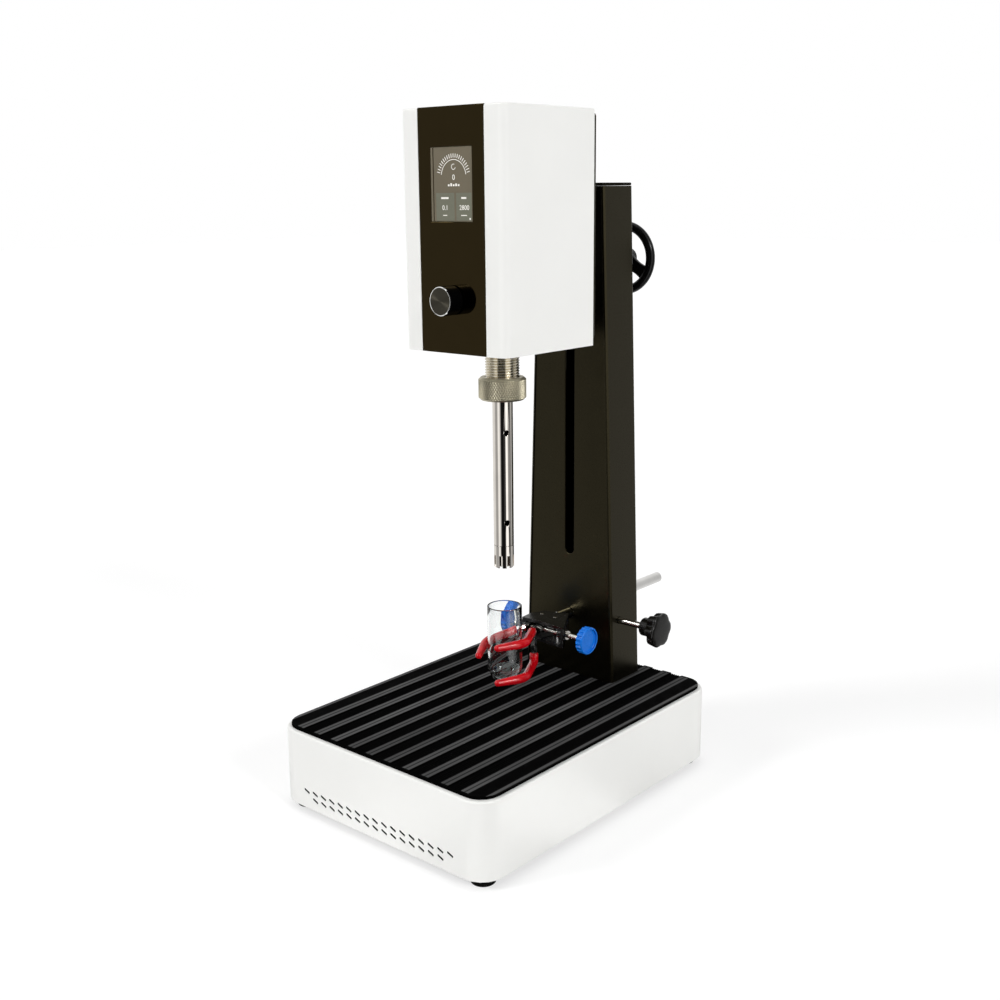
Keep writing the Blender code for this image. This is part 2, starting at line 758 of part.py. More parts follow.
def mat_profile(bottom, half_width):
    """Section of the mat: flat strips stand proud, with fine ribs in the bands between them."""
    top = bottom + MAT_THICKNESS
    floor = top - MAT_BAND_DEPTH
    points = [(-half_width, bottom), (half_width, bottom), (half_width, top)]
    last = MAT_STRIP_COUNT - 1
    for index in range(last, -1, -1):
        centre = (index - last / 2) * MAT_STRIP_PITCH
        right, left = centre + MAT_STRIP_WIDTH / 2, centre - MAT_STRIP_WIDTH / 2
        if index < last:
            points += [(right, floor), (right, top)]
        else:
            points += [(right, top)]
        if index > 0:
            points += [(left, top), (left, floor)]
            points += band_ribs(left, left - (MAT_STRIP_PITCH - MAT_STRIP_WIDTH), floor)
    points += [(-half_width, top)]
    return points


def band_ribs(start, end, floor):
    """Pointed ribs across one band, as points between its two ends."""
    step = (end - start) / MAT_RIBS_PER_BAND
    points = []
    for index in range(MAT_RIBS_PER_BAND):
        points.append((start + (index + 0.5) * step, floor + MAT_RIB_HEIGHT))
        if index < MAT_RIBS_PER_BAND - 1:
            points.append((start + (index + 1) * step, floor))
    return points


def build_mat():
    bottom = BASE_TOP + SEAT_GAP
    half_w, half_d = MAT_HALF_WIDTH, BASE_DEPTH / 2 - MAT_INSET
    mat = outline_solid("ribbed_mat", mat_profile(bottom, half_w), -half_d, half_d, "Y", BLACK_RUBBER)
    reach = Vector((CUT_OVERRUN, CUT_OVERRUN, CUT_OVERRUN))
    corners = block(
        "mat_outline",
        (-half_w + SEAT_GAP, -half_d + SEAT_GAP, bottom - reach.z),
        (half_w - SEAT_GAP, half_d - SEAT_GAP, bottom + MAT_THICKNESS + reach.z),
        corner=MAT_CORNER_RADIUS,
        segments=CORNER_SEGMENTS,
    )
    boolean(mat, as_cutter(corners), "INTERSECT")
    half_foot = column_half_width(column_bottom()) + SEAT_GAP
    cut(
        mat,
        block(
            "mat_column_window",
            (-half_foot, COLUMN_FRONT - SEAT_GAP, bottom - CUT_OVERRUN),
            (half_foot, COLUMN_REAR + SEAT_GAP, bottom + MAT_THICKNESS + CUT_OVERRUN),
            corner=COLUMN_EDGE_RADIUS,
        ),
    )


def slot_shape(width, bottom, top, front, rear, x=0):
    """A round-ended upright slot, as a solid to cut with."""
    radius = width / 2
    shape = rod_shape(radius, (0, front, 0), (0, rear, 0), SMALL_SIDES)
    shape.transform(Matrix.Rotation(math.pi / SMALL_SIDES, 4, "Y"))
    lift = (top - bottom) / 2 - radius
    for vert in shape.verts:
        vert.co.z += math.copysign(lift, vert.co.z)
    shape.transform(Matrix.Translation((x, 0, (top + bottom) / 2)))
    return shape


def carriage_rear():
    return carriage_front() + CARRIAGE_DEPTH


def carriage_front():
    return COLUMN_FRONT + FRONT_PLATE_SETBACK + FRONT_PLATE_THICKNESS + SLOT_GAP


def rear_wall_inside():
    return COLUMN_REAR - COLUMN_WALL


def pinion_rear():
    return rear_wall_inside() - SLOT_GAP


def build_column():
    bottom = column_bottom()
    shell_top = COLUMN_TOP - COLUMN_CAP_THICKNESS - SEAT_GAP
    outer = tapered_column("outer", COLUMN_FRONT, COLUMN_REAR, bottom, shell_top, 0)
    bevel_edges(outer, edges_along(outer, 2), COLUMN_EDGE_RADIUS, CORNER_SEGMENTS // 2)
    shell = finish(object_from("column_shell", outer), BLACK_PAINT)
    inside = tapered_column(
        "column_inside",
        COLUMN_FRONT - CUT_OVERRUN,
        rear_wall_inside(),
        bottom - CUT_OVERRUN,
        shell_top + CUT_OVERRUN,
        COLUMN_WALL,
    )
    cut(shell, object_from("column_inside", inside))
    rear_slot = slot_shape(
        2 * (PINION_SHAFT_RADIUS + SLOT_GAP),
        CARRIAGE_MIDDLE - LIFT_DOWN - PINION_SHAFT_RADIUS - REAR_SLOT_SPARE,
        CARRIAGE_MIDDLE + LIFT_UP + PINION_SHAFT_RADIUS + REAR_SLOT_SPARE,
        rear_wall_inside() - CUT_OVERRUN,
        COLUMN_REAR + CUT_OVERRUN,
        PINION_X,
    )
    cut(shell, object_from("column_rear_slot", rear_slot))
    cut(shell, rod_hole("shell_rod_hole", rear_wall_inside(), COLUMN_REAR))
    side = column_half_width(ROD_HEIGHT)
    cut(
        shell,
        bar(
            "star_screw_hole",
            STAR_SCREW_RADIUS + RUNNING_GAP,
            (side - COLUMN_WALL - CUT_OVERRUN, STAR_Y, ROD_HEIGHT),
            (side + CUT_OVERRUN, STAR_Y, ROD_HEIGHT),
            sides=SMALL_SIDES,
        ),
    )
    plate_front = COLUMN_FRONT + FRONT_PLATE_SETBACK
    plate = tapered_column(
        "plate",
        plate_front,
        plate_front + FRONT_PLATE_THICKNESS,
        bottom,
        shell_top,
        COLUMN_WALL + SEAT_GAP,
    )
    front = finish(object_from("column_front_plate", plate), BLACK_PAINT)
    slot = slot_shape(
        COLUMN_SLOT_WIDTH,
        BASE_TOP + COLUMN_SLOT_RISE,
        CARRIAGE_MIDDLE + NECK_HEIGHT / 2 + LIFT_UP + COLUMN_SLOT_END_SPARE,
        plate_front - CUT_OVERRUN,
        plate_front + FRONT_PLATE_THICKNESS + CUT_OVERRUN,
    )
    cut(front, object_from("column_front_slot", slot))
    cut(front, rod_hole("plate_rod_hole", plate_front, plate_front + FRONT_PLATE_THICKNESS))
    half_top = column_half_width(COLUMN_TOP)
    block(
        "column_cap",
        (-half_top, COLUMN_FRONT, COLUMN_TOP - COLUMN_CAP_THICKNESS),
        (half_top, COLUMN_REAR, COLUMN_TOP),
        BLACK_PAINT,
        corner=COLUMN_EDGE_RADIUS,
        segments=CORNER_SEGMENTS // 2,
    )
    half_foot = column_half_width(bottom) - COLUMN_WALL - COLUMN_FOOT_INSET
    block(
        "column_foot",
        (-half_foot, plate_front + FRONT_PLATE_THICKNESS + SEAT_GAP, bottom),
        (half_foot, rear_wall_inside() - SEAT_GAP, bottom + COLUMN_FOOT_HEIGHT),
        ALUMINIUM,
        corner=CARRIAGE_EDGE,
    )


def rod_hole(name, near, far):
    """A hole for the clamp rod through one wall of the column."""
    return bar(
        name,
        ROD_RADIUS + RUNNING_GAP,
        (0, near - CUT_OVERRUN, ROD_HEIGHT),
        (0, far + CUT_OVERRUN, ROD_HEIGHT),
        sides=ROUND_SIDES,
    )


def build_guides():
    y = COLUMN_FRONT + GUIDE_ROD_SETBACK
    low = ROD_HEIGHT + ROD_BLOCK_ABOVE + SEAT_GAP
    high = COLUMN_TOP - COLUMN_CAP_THICKNESS - 2 * SEAT_GAP
    for side, way in (("left", -1), ("right", 1)):
        x = way * GUIDE_ROD_SPREAD / 2
        bar(f"guide_rod_{side}", GUIDE_ROD_RADIUS, (x, y, low), (x, y, high), BRIGHT_STEEL, SMALL_SIDES)


def build_carriage():
    """Block on the guide rods, with the neck that reaches through the slot to the head."""
    low = CARRIAGE_MIDDLE - CARRIAGE_HEIGHT / 2
    high = CARRIAGE_MIDDLE + CARRIAGE_HEIGHT / 2
    carriage = block(
        "carriage",
        (-CARRIAGE_WIDTH / 2, carriage_front(), low),
        (CARRIAGE_WIDTH / 2, carriage_rear(), high),
        ALUMINIUM,
        corner=CARRIAGE_EDGE,
    )
    half_neck = COLUMN_SLOT_WIDTH / 2 - SLOT_GAP
    join(
        carriage,
        block(
            "carriage_neck",
            (-half_neck, back_plate_rear() + SEAT_GAP, CARRIAGE_MIDDLE - NECK_HEIGHT / 2),
            (half_neck, carriage_front() + CARRIAGE_EDGE, CARRIAGE_MIDDLE + NECK_HEIGHT / 2),
        ),
    )
    for side, way in (("left", -1), ("right", 1)):
        x = way * GUIDE_ROD_SPREAD / 2
        y = COLUMN_FRONT + GUIDE_ROD_SETBACK
        cut(
            carriage,
            bar(
                f"carriage_bore_{side}",
                GUIDE_ROD_RADIUS + RUNNING_GAP,
                (x, y, low - CUT_OVERRUN),
                (x, y, high + CUT_OVERRUN),
                sides=SMALL_SIDES,
            ),
        )


def tooth_half_width(offset):
    """Half of a tooth's width at a height above its pitch line."""
    return math.pi * GEAR_MODULE * TOOTH_SHARE / 2 - offset * math.tan(PRESSURE_ANGLE)


def rack_outline():
    """(x, z) outline of the rack: a tooth gap is level with the pinion's axis at rest."""
    pitch = math.pi * GEAR_MODULE
    line = PINION_X - pitch_radius()
    tip, root = line + ADDENDUM_SHARE * GEAR_MODULE, line - DEDENDUM_SHARE * GEAR_MODULE
    below = math.ceil((LIFT_DOWN + RACK_END_SPARE) / pitch)
    above = math.ceil((LIFT_UP + RACK_END_SPARE) / pitch)
    wide, thin = tooth_half_width(-DEDENDUM_SHARE * GEAR_MODULE), tooth_half_width(ADDENDUM_SHARE * GEAR_MODULE)
    points = []
    for index in range(-below, above):
        z = CARRIAGE_MIDDLE + (index + 0.5) * pitch
        points += [(root, z - wide), (tip, z - thin), (tip, z + thin), (root, z + wide)]
    low, high = CARRIAGE_MIDDLE - below * pitch, CARRIAGE_MIDDLE + above * pitch
    back = root - RACK_BACKING
    return [(back, low), (root, low), *points, (root, high), (back, high)]


def pinion_outline():
    """(x, z) outline of the pinion, with a tooth pointing at the rack at rest."""
    radius = pitch_radius()
    tip, root = radius + ADDENDUM_SHARE * GEAR_MODULE, radius - DEDENDUM_SHARE * GEAR_MODULE
    wide, thin = tooth_half_width(-DEDENDUM_SHARE * GEAR_MODULE), tooth_half_width(ADDENDUM_SHARE * GEAR_MODULE)
    points = []
    for index in range(PINION_TEETH):
        middle = math.pi + 2 * math.pi * index / PINION_TEETH
        for reach, half in ((root, -wide), (tip, -thin), (tip, thin), (root, wide)):
            angle = middle + half / reach
            points.append((PINION_X + reach * math.cos(angle), CARRIAGE_MIDDLE + reach * math.sin(angle)))
    return points


def build_rack_and_pinion():
    rack_rear = rear_wall_inside() - SEAT_GAP
    outline_solid("rack", rack_outline(), rack_rear - RACK_WIDTH, rack_rear, "Y", BRIGHT_STEEL)
    axis = (PINION_X, COLUMN_REAR + WHEEL_STANDOFF, CARRIAGE_MIDDLE)
    rear = pinion_rear()
    front = rear - PINION_WIDTH
    gear = outline_solid("pinion_shaft", pinion_outline(), front, rear, "Y", BRIGHT_STEEL, origin=axis)
    start = carriage_rear() + SEAT_GAP + SEAT_GAP
    end = COLUMN_REAR + WHEEL_STANDOFF - WHEEL_HUB_LENGTH / 2 + 2 * WHEEL_HUB_LENGTH / 3
    spindle = bar(
        "spindle",
        PINION_SHAFT_RADIUS,
        (PINION_X, start, CARRIAGE_MIDDLE),
        (PINION_X, end, CARRIAGE_MIDDLE),
        sides=SMALL_SIDES,
        origin=axis,
    )
    join(gear, spindle)
    block_front = carriage_rear() + SEAT_GAP
    turned(
        "pinion_bearing",
        ring_profile(
            BEARING_BLOCK_RADIUS,
            PINION_SHAFT_RADIUS + RUNNING_GAP,
            block_front,
            min(block_front + BEARING_BLOCK_LENGTH, front - SEAT_GAP),
        ),
        (PINION_X, block_front, CARRIAGE_MIDDLE),
        "Y",
        NUT_STEEL,
        SMALL_SIDES,
    )


def ring_profile(outer, inner, low, high, chamfer=0):
    """Closed section of a ring between two places along its axis."""
    if chamfer:
        return [
            (inner, high),
            (outer - chamfer, high),
            (outer, high - chamfer),
            (outer, low + chamfer),
            (outer - chamfer, low),
            (inner, low),
        ]
    return [(inner, high), (outer, high), (outer, low), (inner, low)]


def build_handwheel():
    y = COLUMN_REAR + WHEEL_STANDOFF
    centre = (PINION_X, y, CARRIAGE_MIDDLE)
    ring_middle = WHEEL_RADIUS - WHEEL_RIM_RADIUS
    section = [
        (
            ring_middle + WHEEL_RIM_RADIUS * math.cos(2 * math.pi * k / WHEEL_RIM_SIDES),
            y + WHEEL_RIM_RADIUS * math.sin(2 * math.pi * k / WHEEL_RIM_SIDES),
        )
        for k in range(WHEEL_RIM_SIDES)
    ]
    wheel = turned("handwheel", section[::-1], centre, "Y", BLACK_PLASTIC, ROUND_SIDES)
    for index in range(WHEEL_SPOKES):
        spoke = box_shape(
            (-WHEEL_SPOKE_WIDTH / 2, -WHEEL_SPOKE_THICKNESS / 2, 0),
            (WHEEL_SPOKE_WIDTH / 2, WHEEL_SPOKE_THICKNESS / 2, ring_middle),
        )
        turn = Matrix.Rotation(2 * math.pi * (index + 0.5) / WHEEL_SPOKES + math.pi / WHEEL_SPOKES, 4, "Y")
        spoke.transform(Matrix.Translation(centre) @ turn)
        join(wheel, object_from(f"wheel_spoke_{index}", spoke, centre))
    near, far = y - WHEEL_HUB_LENGTH / 2, y + WHEEL_HUB_LENGTH / 2
    join(
        wheel,
        bar(
            "wheel_hub",
            WHEEL_HUB_RADIUS,
            (PINION_X, near, CARRIAGE_MIDDLE),
            (PINION_X, far, CARRIAGE_MIDDLE),
            origin=centre,
            chamfer=KNOB_EDGE,
        ),
    )
    cut(
        wheel,
        bar(
            "wheel_bore",
            PINION_SHAFT_RADIUS + SEAT_GAP,
            (PINION_X, near - CUT_OVERRUN, CARRIAGE_MIDDLE),
            (PINION_X, near + 2 * WHEEL_HUB_LENGTH / 3 + SEAT_GAP, CARRIAGE_MIDDLE),
            sides=SMALL_SIDES,
            origin=centre,
        ),
    )


def build_head_casing():
    half = HEAD_WIDTH / 2
    shell = open_shell(
        "head_shell",
        (-half, HEAD_FRONT, HEAD_BOTTOM),
        (half, HEAD_REAR, HEAD_TOP),
        HEAD_CORNER_RADIUS,
        HEAD_EDGE_RADIUS,
        HEAD_WALL,
        [(0, 0, -1), (0, 1, 0)],
        WHITE_PAINT,
    )
    half_panel = PANEL_WIDTH / 2
    cut(
        shell,
        block(
            "panel_window",
            (-half_panel - SEAT_GAP, HEAD_FRONT - CUT_OVERRUN, HEAD_BOTTOM - CUT_OVERRUN),
            (half_panel + SEAT_GAP, HEAD_FRONT + PANEL_THICKNESS + SEAT_GAP, HEAD_TOP + CUT_OVERRUN),
        ),
    )
    panel = block(
        "front_panel",
        (-half_panel, HEAD_FRONT, HEAD_BOTTOM),
        (half_panel, HEAD_FRONT + PANEL_THICKNESS, HEAD_TOP),
        BLACK_GLOSS,
    )
    panel_rear = HEAD_FRONT + PANEL_THICKNESS
    cut(
        panel,
        block(
            "display_window",
            (-DISPLAY_WIDTH / 2 - SEAT_GAP, HEAD_FRONT - CUT_OVERRUN, DISPLAY_BOTTOM - SEAT_GAP),
            (
                DISPLAY_WIDTH / 2 + SEAT_GAP,
                panel_rear + CUT_OVERRUN,
                DISPLAY_BOTTOM + DISPLAY_HEIGHT + SEAT_GAP,
            ),
        ),
    )
    cut(
        panel,
        bar(
            "encoder_hole",
            ENCODER_SHAFT_RADIUS + RUNNING_GAP,
            (0, HEAD_FRONT - CUT_OVERRUN, KNOB_HEIGHT),
            (0, panel_rear + CUT_OVERRUN, KNOB_HEIGHT),
            sides=SMALL_SIDES,
        ),
    )
    block(
        "display_module",
        (-DISPLAY_WIDTH / 2, HEAD_FRONT + DISPLAY_SETBACK, DISPLAY_BOTTOM),
        (DISPLAY_WIDTH / 2, HEAD_FRONT + DISPLAY_SETBACK + DISPLAY_DEPTH, DISPLAY_BOTTOM + DISPLAY_HEIGHT),
        SCREEN_GREY,
    )
    block(
        "head_back_plate",
        (-half + BACK_PLATE_INSET, HEAD_REAR + SEAT_GAP, HEAD_BOTTOM + BACK_PLATE_LIFT),
        (half - BACK_PLATE_INSET, back_plate_rear(), HEAD_TOP - BACK_PLATE_INSET),
        BLACK_PAINT,
        corner=BACK_PLATE_INSET,
        axis=1,
    )


def build_bottom_plate():
    half = HEAD_WIDTH / 2 - HEAD_WALL - SEAT_GAP
    plate = block(
        "head_bottom_plate",
        (-half, HEAD_FRONT + PANEL_THICKNESS + 2 * SEAT_GAP, HEAD_BOTTOM),
        (half, HEAD_REAR, HEAD_BOTTOM + BOTTOM_PLATE_THICKNESS),
        WHITE_PAINT,
        corner=HEAD_CORNER_RADIUS - HEAD_WALL,
        segments=CORNER_SEGMENTS // 2,
    )
    cut(
        plate,
        bar(
            "collar_hole",
            COLLAR_RADIUS + SEAT_GAP,
            (0, DRIVE_Y, HEAD_BOTTOM - CUT_OVERRUN),
            (0, DRIVE_Y, HEAD_BOTTOM + BOTTOM_PLATE_THICKNESS + CUT_OVERRUN),
        ),
    )


def build_control_board():
    """Circuit board behind the panel, with its display connector and driver blocks."""
    front = HEAD_FRONT + DISPLAY_SETBACK + DISPLAY_DEPTH + SEAT_GAP
    half = DISPLAY_WIDTH / 2 + BOARD_MARGIN
    low = DISPLAY_BOTTOM - BOARD_MARGIN
    board = block(
        "control_board",
        (-half, front, low),
        (half, front + BOARD_THICKNESS, DISPLAY_BOTTOM + DISPLAY_HEIGHT + BOARD_MARGIN),
        BOARD_GREEN,
    )
    for index in range(BOARD_BLOCK_COUNT):
        x = (index - (BOARD_BLOCK_COUNT - 1) / 2) * (BOARD_BLOCK_SIZE + BOARD_MARGIN)
        z = low + BOARD_MARGIN
        join(
            board,
            block(
                f"board_block_{index}",
                (x - BOARD_BLOCK_SIZE / 2, front + BOARD_THICKNESS / 2, z),
                (x + BOARD_BLOCK_SIZE / 2, front + BOARD_THICKNESS + BOARD_BLOCK_HEIGHT, z + BOARD_BLOCK_SIZE),
            ),
        )


def build_knob():
    """Encoder body, its plunger and shaft, and the knob with its turned face."""
    body_front = HEAD_FRONT + PANEL_THICKNESS + SEAT_GAP
    body_rear = body_front + ENCODER_LENGTH
    half = ENCODER_SIZE / 2
    axis = (0, HEAD_FRONT, KNOB_HEIGHT)
    encoder = block(
        "encoder_body",
        (-half, body_front, KNOB_HEIGHT - half),
        (half, body_rear, KNOB_HEIGHT + half),
        ALUMINIUM,
    )
    bore = ENCODER_SHAFT_RADIUS + RUNNING_GAP
    cut(
        encoder,
        bar(
            "encoder_bore",
            bore,
            (0, body_front - CUT_OVERRUN, KNOB_HEIGHT),
            (0, body_rear + CUT_OVERRUN, KNOB_HEIGHT),
            sides=SMALL_SIDES,
        ),
    )
    plunger_rear = body_rear - KNOB_PRESS - SEAT_GAP
    plunger_front = plunger_rear - PLUNGER_LENGTH
    bar(
        "encoder_plunger",
        ENCODER_SHAFT_RADIUS,
        (0, plunger_front, KNOB_HEIGHT),
        (0, plunger_rear, KNOB_HEIGHT),
        NUT_STEEL,
        SMALL_SIDES,
        origin=axis,
    )
    knob_rear = HEAD_FRONT - KNOB_STANDOFF
    knob_front = knob_rear - KNOB_LENGTH
    shaft_front = plunger_front - SEAT_GAP - ENCODER_SHAFT_LENGTH
    bar(
        "encoder_shaft",
        ENCODER_SHAFT_RADIUS,
        (0, shaft_front, KNOB_HEIGHT),
        (0, plunger_front - SEAT_GAP, KNOB_HEIGHT),
        ALUMINIUM,
        SMALL_SIDES,
        origin=axis,
    )
    socket = ENCODER_SHAFT_RADIUS + SEAT_GAP
    recess = KNOB_FACE_RADIUS + SEAT_GAP
    floor = knob_front + KNOB_FACE_THICKNESS + SEAT_GAP
    profile = [
        (socket, knob_rear),
        (KNOB_RADIUS, knob_rear),
        (KNOB_RADIUS, knob_front + KNOB_EDGE),
        (KNOB_RADIUS - KNOB_EDGE / 3, knob_front + KNOB_EDGE / 3),
        (KNOB_RADIUS - KNOB_EDGE, knob_front),
        (recess, knob_front),
        (recess, floor),
        (0, floor),
        (0, shaft_front - SEAT_GAP),
        (socket, shaft_front - SEAT_GAP),
    ]
    closed_turn("knob_body", profile, axis, "Y", BLACK_GLOSS, FINE_SIDES)
    bar(
        "knob_face",
        KNOB_FACE_RADIUS,
        (0, knob_front, KNOB_HEIGHT),
        (0, knob_front + KNOB_FACE_THICKNESS, KNOB_HEIGHT),
        ALUMINIUM,
        FINE_SIDES,
        origin=axis,
    )


def closed_turn(name, profile, centre, axis, look, sides):
    """A turned piece whose section meets the axis between two of its points.

    The section is rolled so that the stretch on the axis lies between its last and first point.
    """
    on_axis = [index for index, (radius, place) in enumerate(profile) if radius == 0]
    together = on_axis[-1] == on_axis[0] + 1
    first = on_axis[-1] if together else on_axis[0]
    rolled = profile[first:] + profile[:first]
    return turned(name, rolled, centre, axis, look, sides)


def build_motor():
    """Motor on the bottom plate, with a bearing in each end."""
    low = HEAD_BOTTOM + BOTTOM_PLATE_THICKNESS + COLLAR_FLANGE_THICKNESS + 2 * SEAT_GAP
    high = low + MOTOR_LENGTH
    centre = (0, DRIVE_Y, low)
    seat = BEARING_RADIUS + SEAT_GAP
    bore = MOTOR_SHAFT_RADIUS + RUNNING_GAP
    profile = [
        (seat, high),
        (MOTOR_END_RADIUS, high),
        (MOTOR_END_RADIUS, high - MOTOR_END_STEP),
        (MOTOR_RADIUS, high - MOTOR_END_STEP),
        (MOTOR_RADIUS, low + MOTOR_END_STEP),
        (MOTOR_END_RADIUS, low + MOTOR_END_STEP),
        (MOTOR_END_RADIUS, low),
        (seat, low),
        (seat, low + BEARING_WIDTH + SEAT_GAP),
        (bore, low + BEARING_WIDTH + SEAT_GAP),
        (bore, high - BEARING_WIDTH - SEAT_GAP),
        (seat, high - BEARING_WIDTH - SEAT_GAP),
    ]
    turned("motor_housing", profile, centre, "Z", NUT_STEEL, SMALL_SIDES)
    for name, start in (("lower_bearing", low), ("upper_bearing", high - BEARING_WIDTH)):
        turned(
            name,
            ring_profile(BEARING_RADIUS, bore, start, start + BEARING_WIDTH),
            (0, DRIVE_Y, start),
            "Z",
            BRIGHT_STEEL,
            SMALL_SIDES,
        )
    shaft_low = coupling_top() + SEAT_GAP
    bar(
        "motor_shaft",
        MOTOR_SHAFT_RADIUS,
        (0, DRIVE_Y, shaft_low),
        (0, DRIVE_Y, high + MOTOR_SHAFT_TAIL),
        BRIGHT_STEEL,
        SMALL_SIDES,
        origin=(0, DRIVE_Y, low),
    )


def coupling_top():
    return COLLAR_BOTTOM + SEAT_GAP + COUPLING_LENGTH


def build_collar_and_nut():
    """Threaded collar under the head, and the knurled nut that holds the probe's flange to it."""
    low = COLLAR_BOTTOM
    plate_top = HEAD_BOTTOM + BOTTOM_PLATE_THICKNESS
    flange_low = plate_top + SEAT_GAP
    flange_high = flange_low + COLLAR_FLANGE_THICKNESS
    profile = [
        (COLLAR_BORE_RADIUS, flange_high),
        (COLLAR_FLANGE_RADIUS, flange_high),
        (COLLAR_FLANGE_RADIUS, flange_low),
        (COLLAR_RADIUS, flange_low),
        (COLLAR_RADIUS, low + COLLAR_CHAMFER),
        (COLLAR_RADIUS - COLLAR_CHAMFER, low),
        (COLLAR_BORE_RADIUS, low),
    ]
    turned("threaded_collar", profile, (0, DRIVE_Y, low), "Z", BRIGHT_STEEL, FINE_SIDES)
    top = NUT_BOTTOM + NUT_HEIGHT
    thread = COLLAR_RADIUS + RUNNING_GAP
    hole = PROBE_RADIUS + RUNNING_GAP
    nut = [
        (thread, top),
        (NUT_RADIUS - NUT_CHAMFER, top),
        (NUT_RADIUS, top - NUT_CHAMFER),
        (NUT_RADIUS, NUT_BOTTOM + NUT_CHAMFER),
        (NUT_RADIUS - NUT_CHAMFER, NUT_BOTTOM),
        (hole, NUT_BOTTOM),
        (hole, NUT_BOTTOM + NUT_LIP),
        (thread, NUT_BOTTOM + NUT_LIP),
    ]
    turned("knurled_nut", nut, (0, DRIVE_Y, NUT_BOTTOM), "Z", NUT_STEEL, FINE_SIDES)


def build_probe():
    """Dispersing tool: flanged tube with ports, slotted stator, and the rotor on its shaft."""
    flange_low = NUT_BOTTOM + NUT_LIP + SEAT_GAP
    flange_high = flange_low + PROBE_FLANGE_THICKNESS
    tube_low = PROBE_TIP + STATOR_LENGTH + SEAT_GAP
    centre = (0, DRIVE_Y, tube_low)
    tube = turned(
        "probe_tube",
        [
            (PROBE_BORE_RADIUS, flange_high),
            (PROBE_FLANGE_RADIUS, flange_high),
            (PROBE_FLANGE_RADIUS, flange_low),
            (PROBE_RADIUS, flange_low),
            (PROBE_RADIUS, tube_low),
            (PROBE_BORE_RADIUS, tube_low),
        ],
        centre,
        "Z",
        BRIGHT_STEEL,
        FINE_SIDES,
    )
    for name, height in (("upper_ports", tube_low + PORT_UPPER_RISE), ("lower_ports", tube_low + PORT_LOWER_RISE)):
        reach = PROBE_RADIUS + CUT_OVERRUN
        way = Vector((math.cos(PORT_AZIMUTH), math.sin(PORT_AZIMUTH), 0)) * reach
        middle = Vector((0, DRIVE_Y, height))
        cut(tube, bar(name, PORT_RADIUS, middle - way, middle + way, sides=SMALL_SIDES, origin=centre))
    stator_top = PROBE_TIP + STATOR_LENGTH
    stator = turned(
        "stator_head",
        [
            (PROBE_BORE_RADIUS, stator_top),
            (PROBE_RADIUS, stator_top),
            (PROBE_RADIUS, PROBE_TIP + STATOR_TAPER),
            (PROBE_RADIUS - STATOR_TAPER, PROBE_TIP),
            (PROBE_BORE_RADIUS, PROBE_TIP),
        ],
        (0, DRIVE_Y, PROBE_TIP),
        "Z",
        BRIGHT_STEEL,
        FINE_SIDES,
    )
    cut_slots(stator, "stator_slot", STATOR_SLOTS, STATOR_SLOT_WIDTH, PROBE_TIP, STATOR_SLOT_HEIGHT, PROBE_RADIUS)
    rotor_low = PROBE_TIP + ROTOR_RISE
    rotor_high = rotor_low + ROTOR_HEIGHT
    rotor = closed_turn(
        "rotor",
        [
            (0, rotor_high),
            (ROTOR_RADIUS, rotor_high),
            (ROTOR_RADIUS, rotor_low),
            (ROTOR_RADIUS - ROTOR_WALL, rotor_low),
            (ROTOR_RADIUS - ROTOR_WALL, rotor_high - ROTOR_HUB_THICKNESS),
            (0, rotor_high - ROTOR_HUB_THICKNESS),
        ],
        (0, DRIVE_Y, rotor_low),
        "Z",
        BRIGHT_STEEL,
        ROUND_SIDES,
    )
    shaft = bar(
        "rotor_shaft",
        ROTOR_SHAFT_RADIUS,
        (0, DRIVE_Y, rotor_high - ROTOR_HUB_THICKNESS / 2),
        (0, DRIVE_Y, COLLAR_BOTTOM),
        sides=SMALL_SIDES,
        origin=(0, DRIVE_Y, rotor_low),
    )
    join(rotor, shaft)
    blade = ROTOR_HEIGHT - ROTOR_HUB_THICKNESS
    cut_slots(rotor, "rotor_slot", ROTOR_SLOTS, ROTOR_SLOT_WIDTH, rotor_low, blade, ROTOR_RADIUS)
    bar(
        "drive_coupling",
        COUPLING_RADIUS,
        (0, DRIVE_Y, COLLAR_BOTTOM + SEAT_GAP),
        (0, DRIVE_Y, coupling_top()),
        BLACK_PLASTIC,
        SMALL_SIDES,
        origin=(0, DRIVE_Y, rotor_low),
        chamfer=COLLAR_CHAMFER,
    )


def cut_slots(target, name, count, width, low, height, radius):
    """Radial slots, open at the bottom, from opposite pairs that cross on the axis."""
    origin = target.location.copy()
    for index in range(count // 2):
        pair = box_shape(
            (-radius - CUT_OVERRUN, -width / 2, low - CUT_OVERRUN),
            (radius + CUT_OVERRUN, width / 2, low + height),
        )
        turn = Matrix.Rotation(2 * math.pi * (index + 0.5) / count, 4, "Z")
        pair.transform(Matrix.Translation((0, DRIVE_Y, 0)) @ turn)
        cut(target, object_from(f"{name}_{index}", pair, origin))


def star_ring(x, radius, wave):
    """One ring of the star knob: lobes as a wave on its radius."""
    points = []
    count = STAR_LOBES * STAR_POINTS_PER_LOBE
    for index in range(count):
        angle = 2 * math.pi * index / count
        reach = radius + wave * math.cos(STAR_LOBES * angle)
        points.append((x, STAR_Y + reach * math.cos(angle), ROD_HEIGHT + reach * math.sin(angle)))
    return points


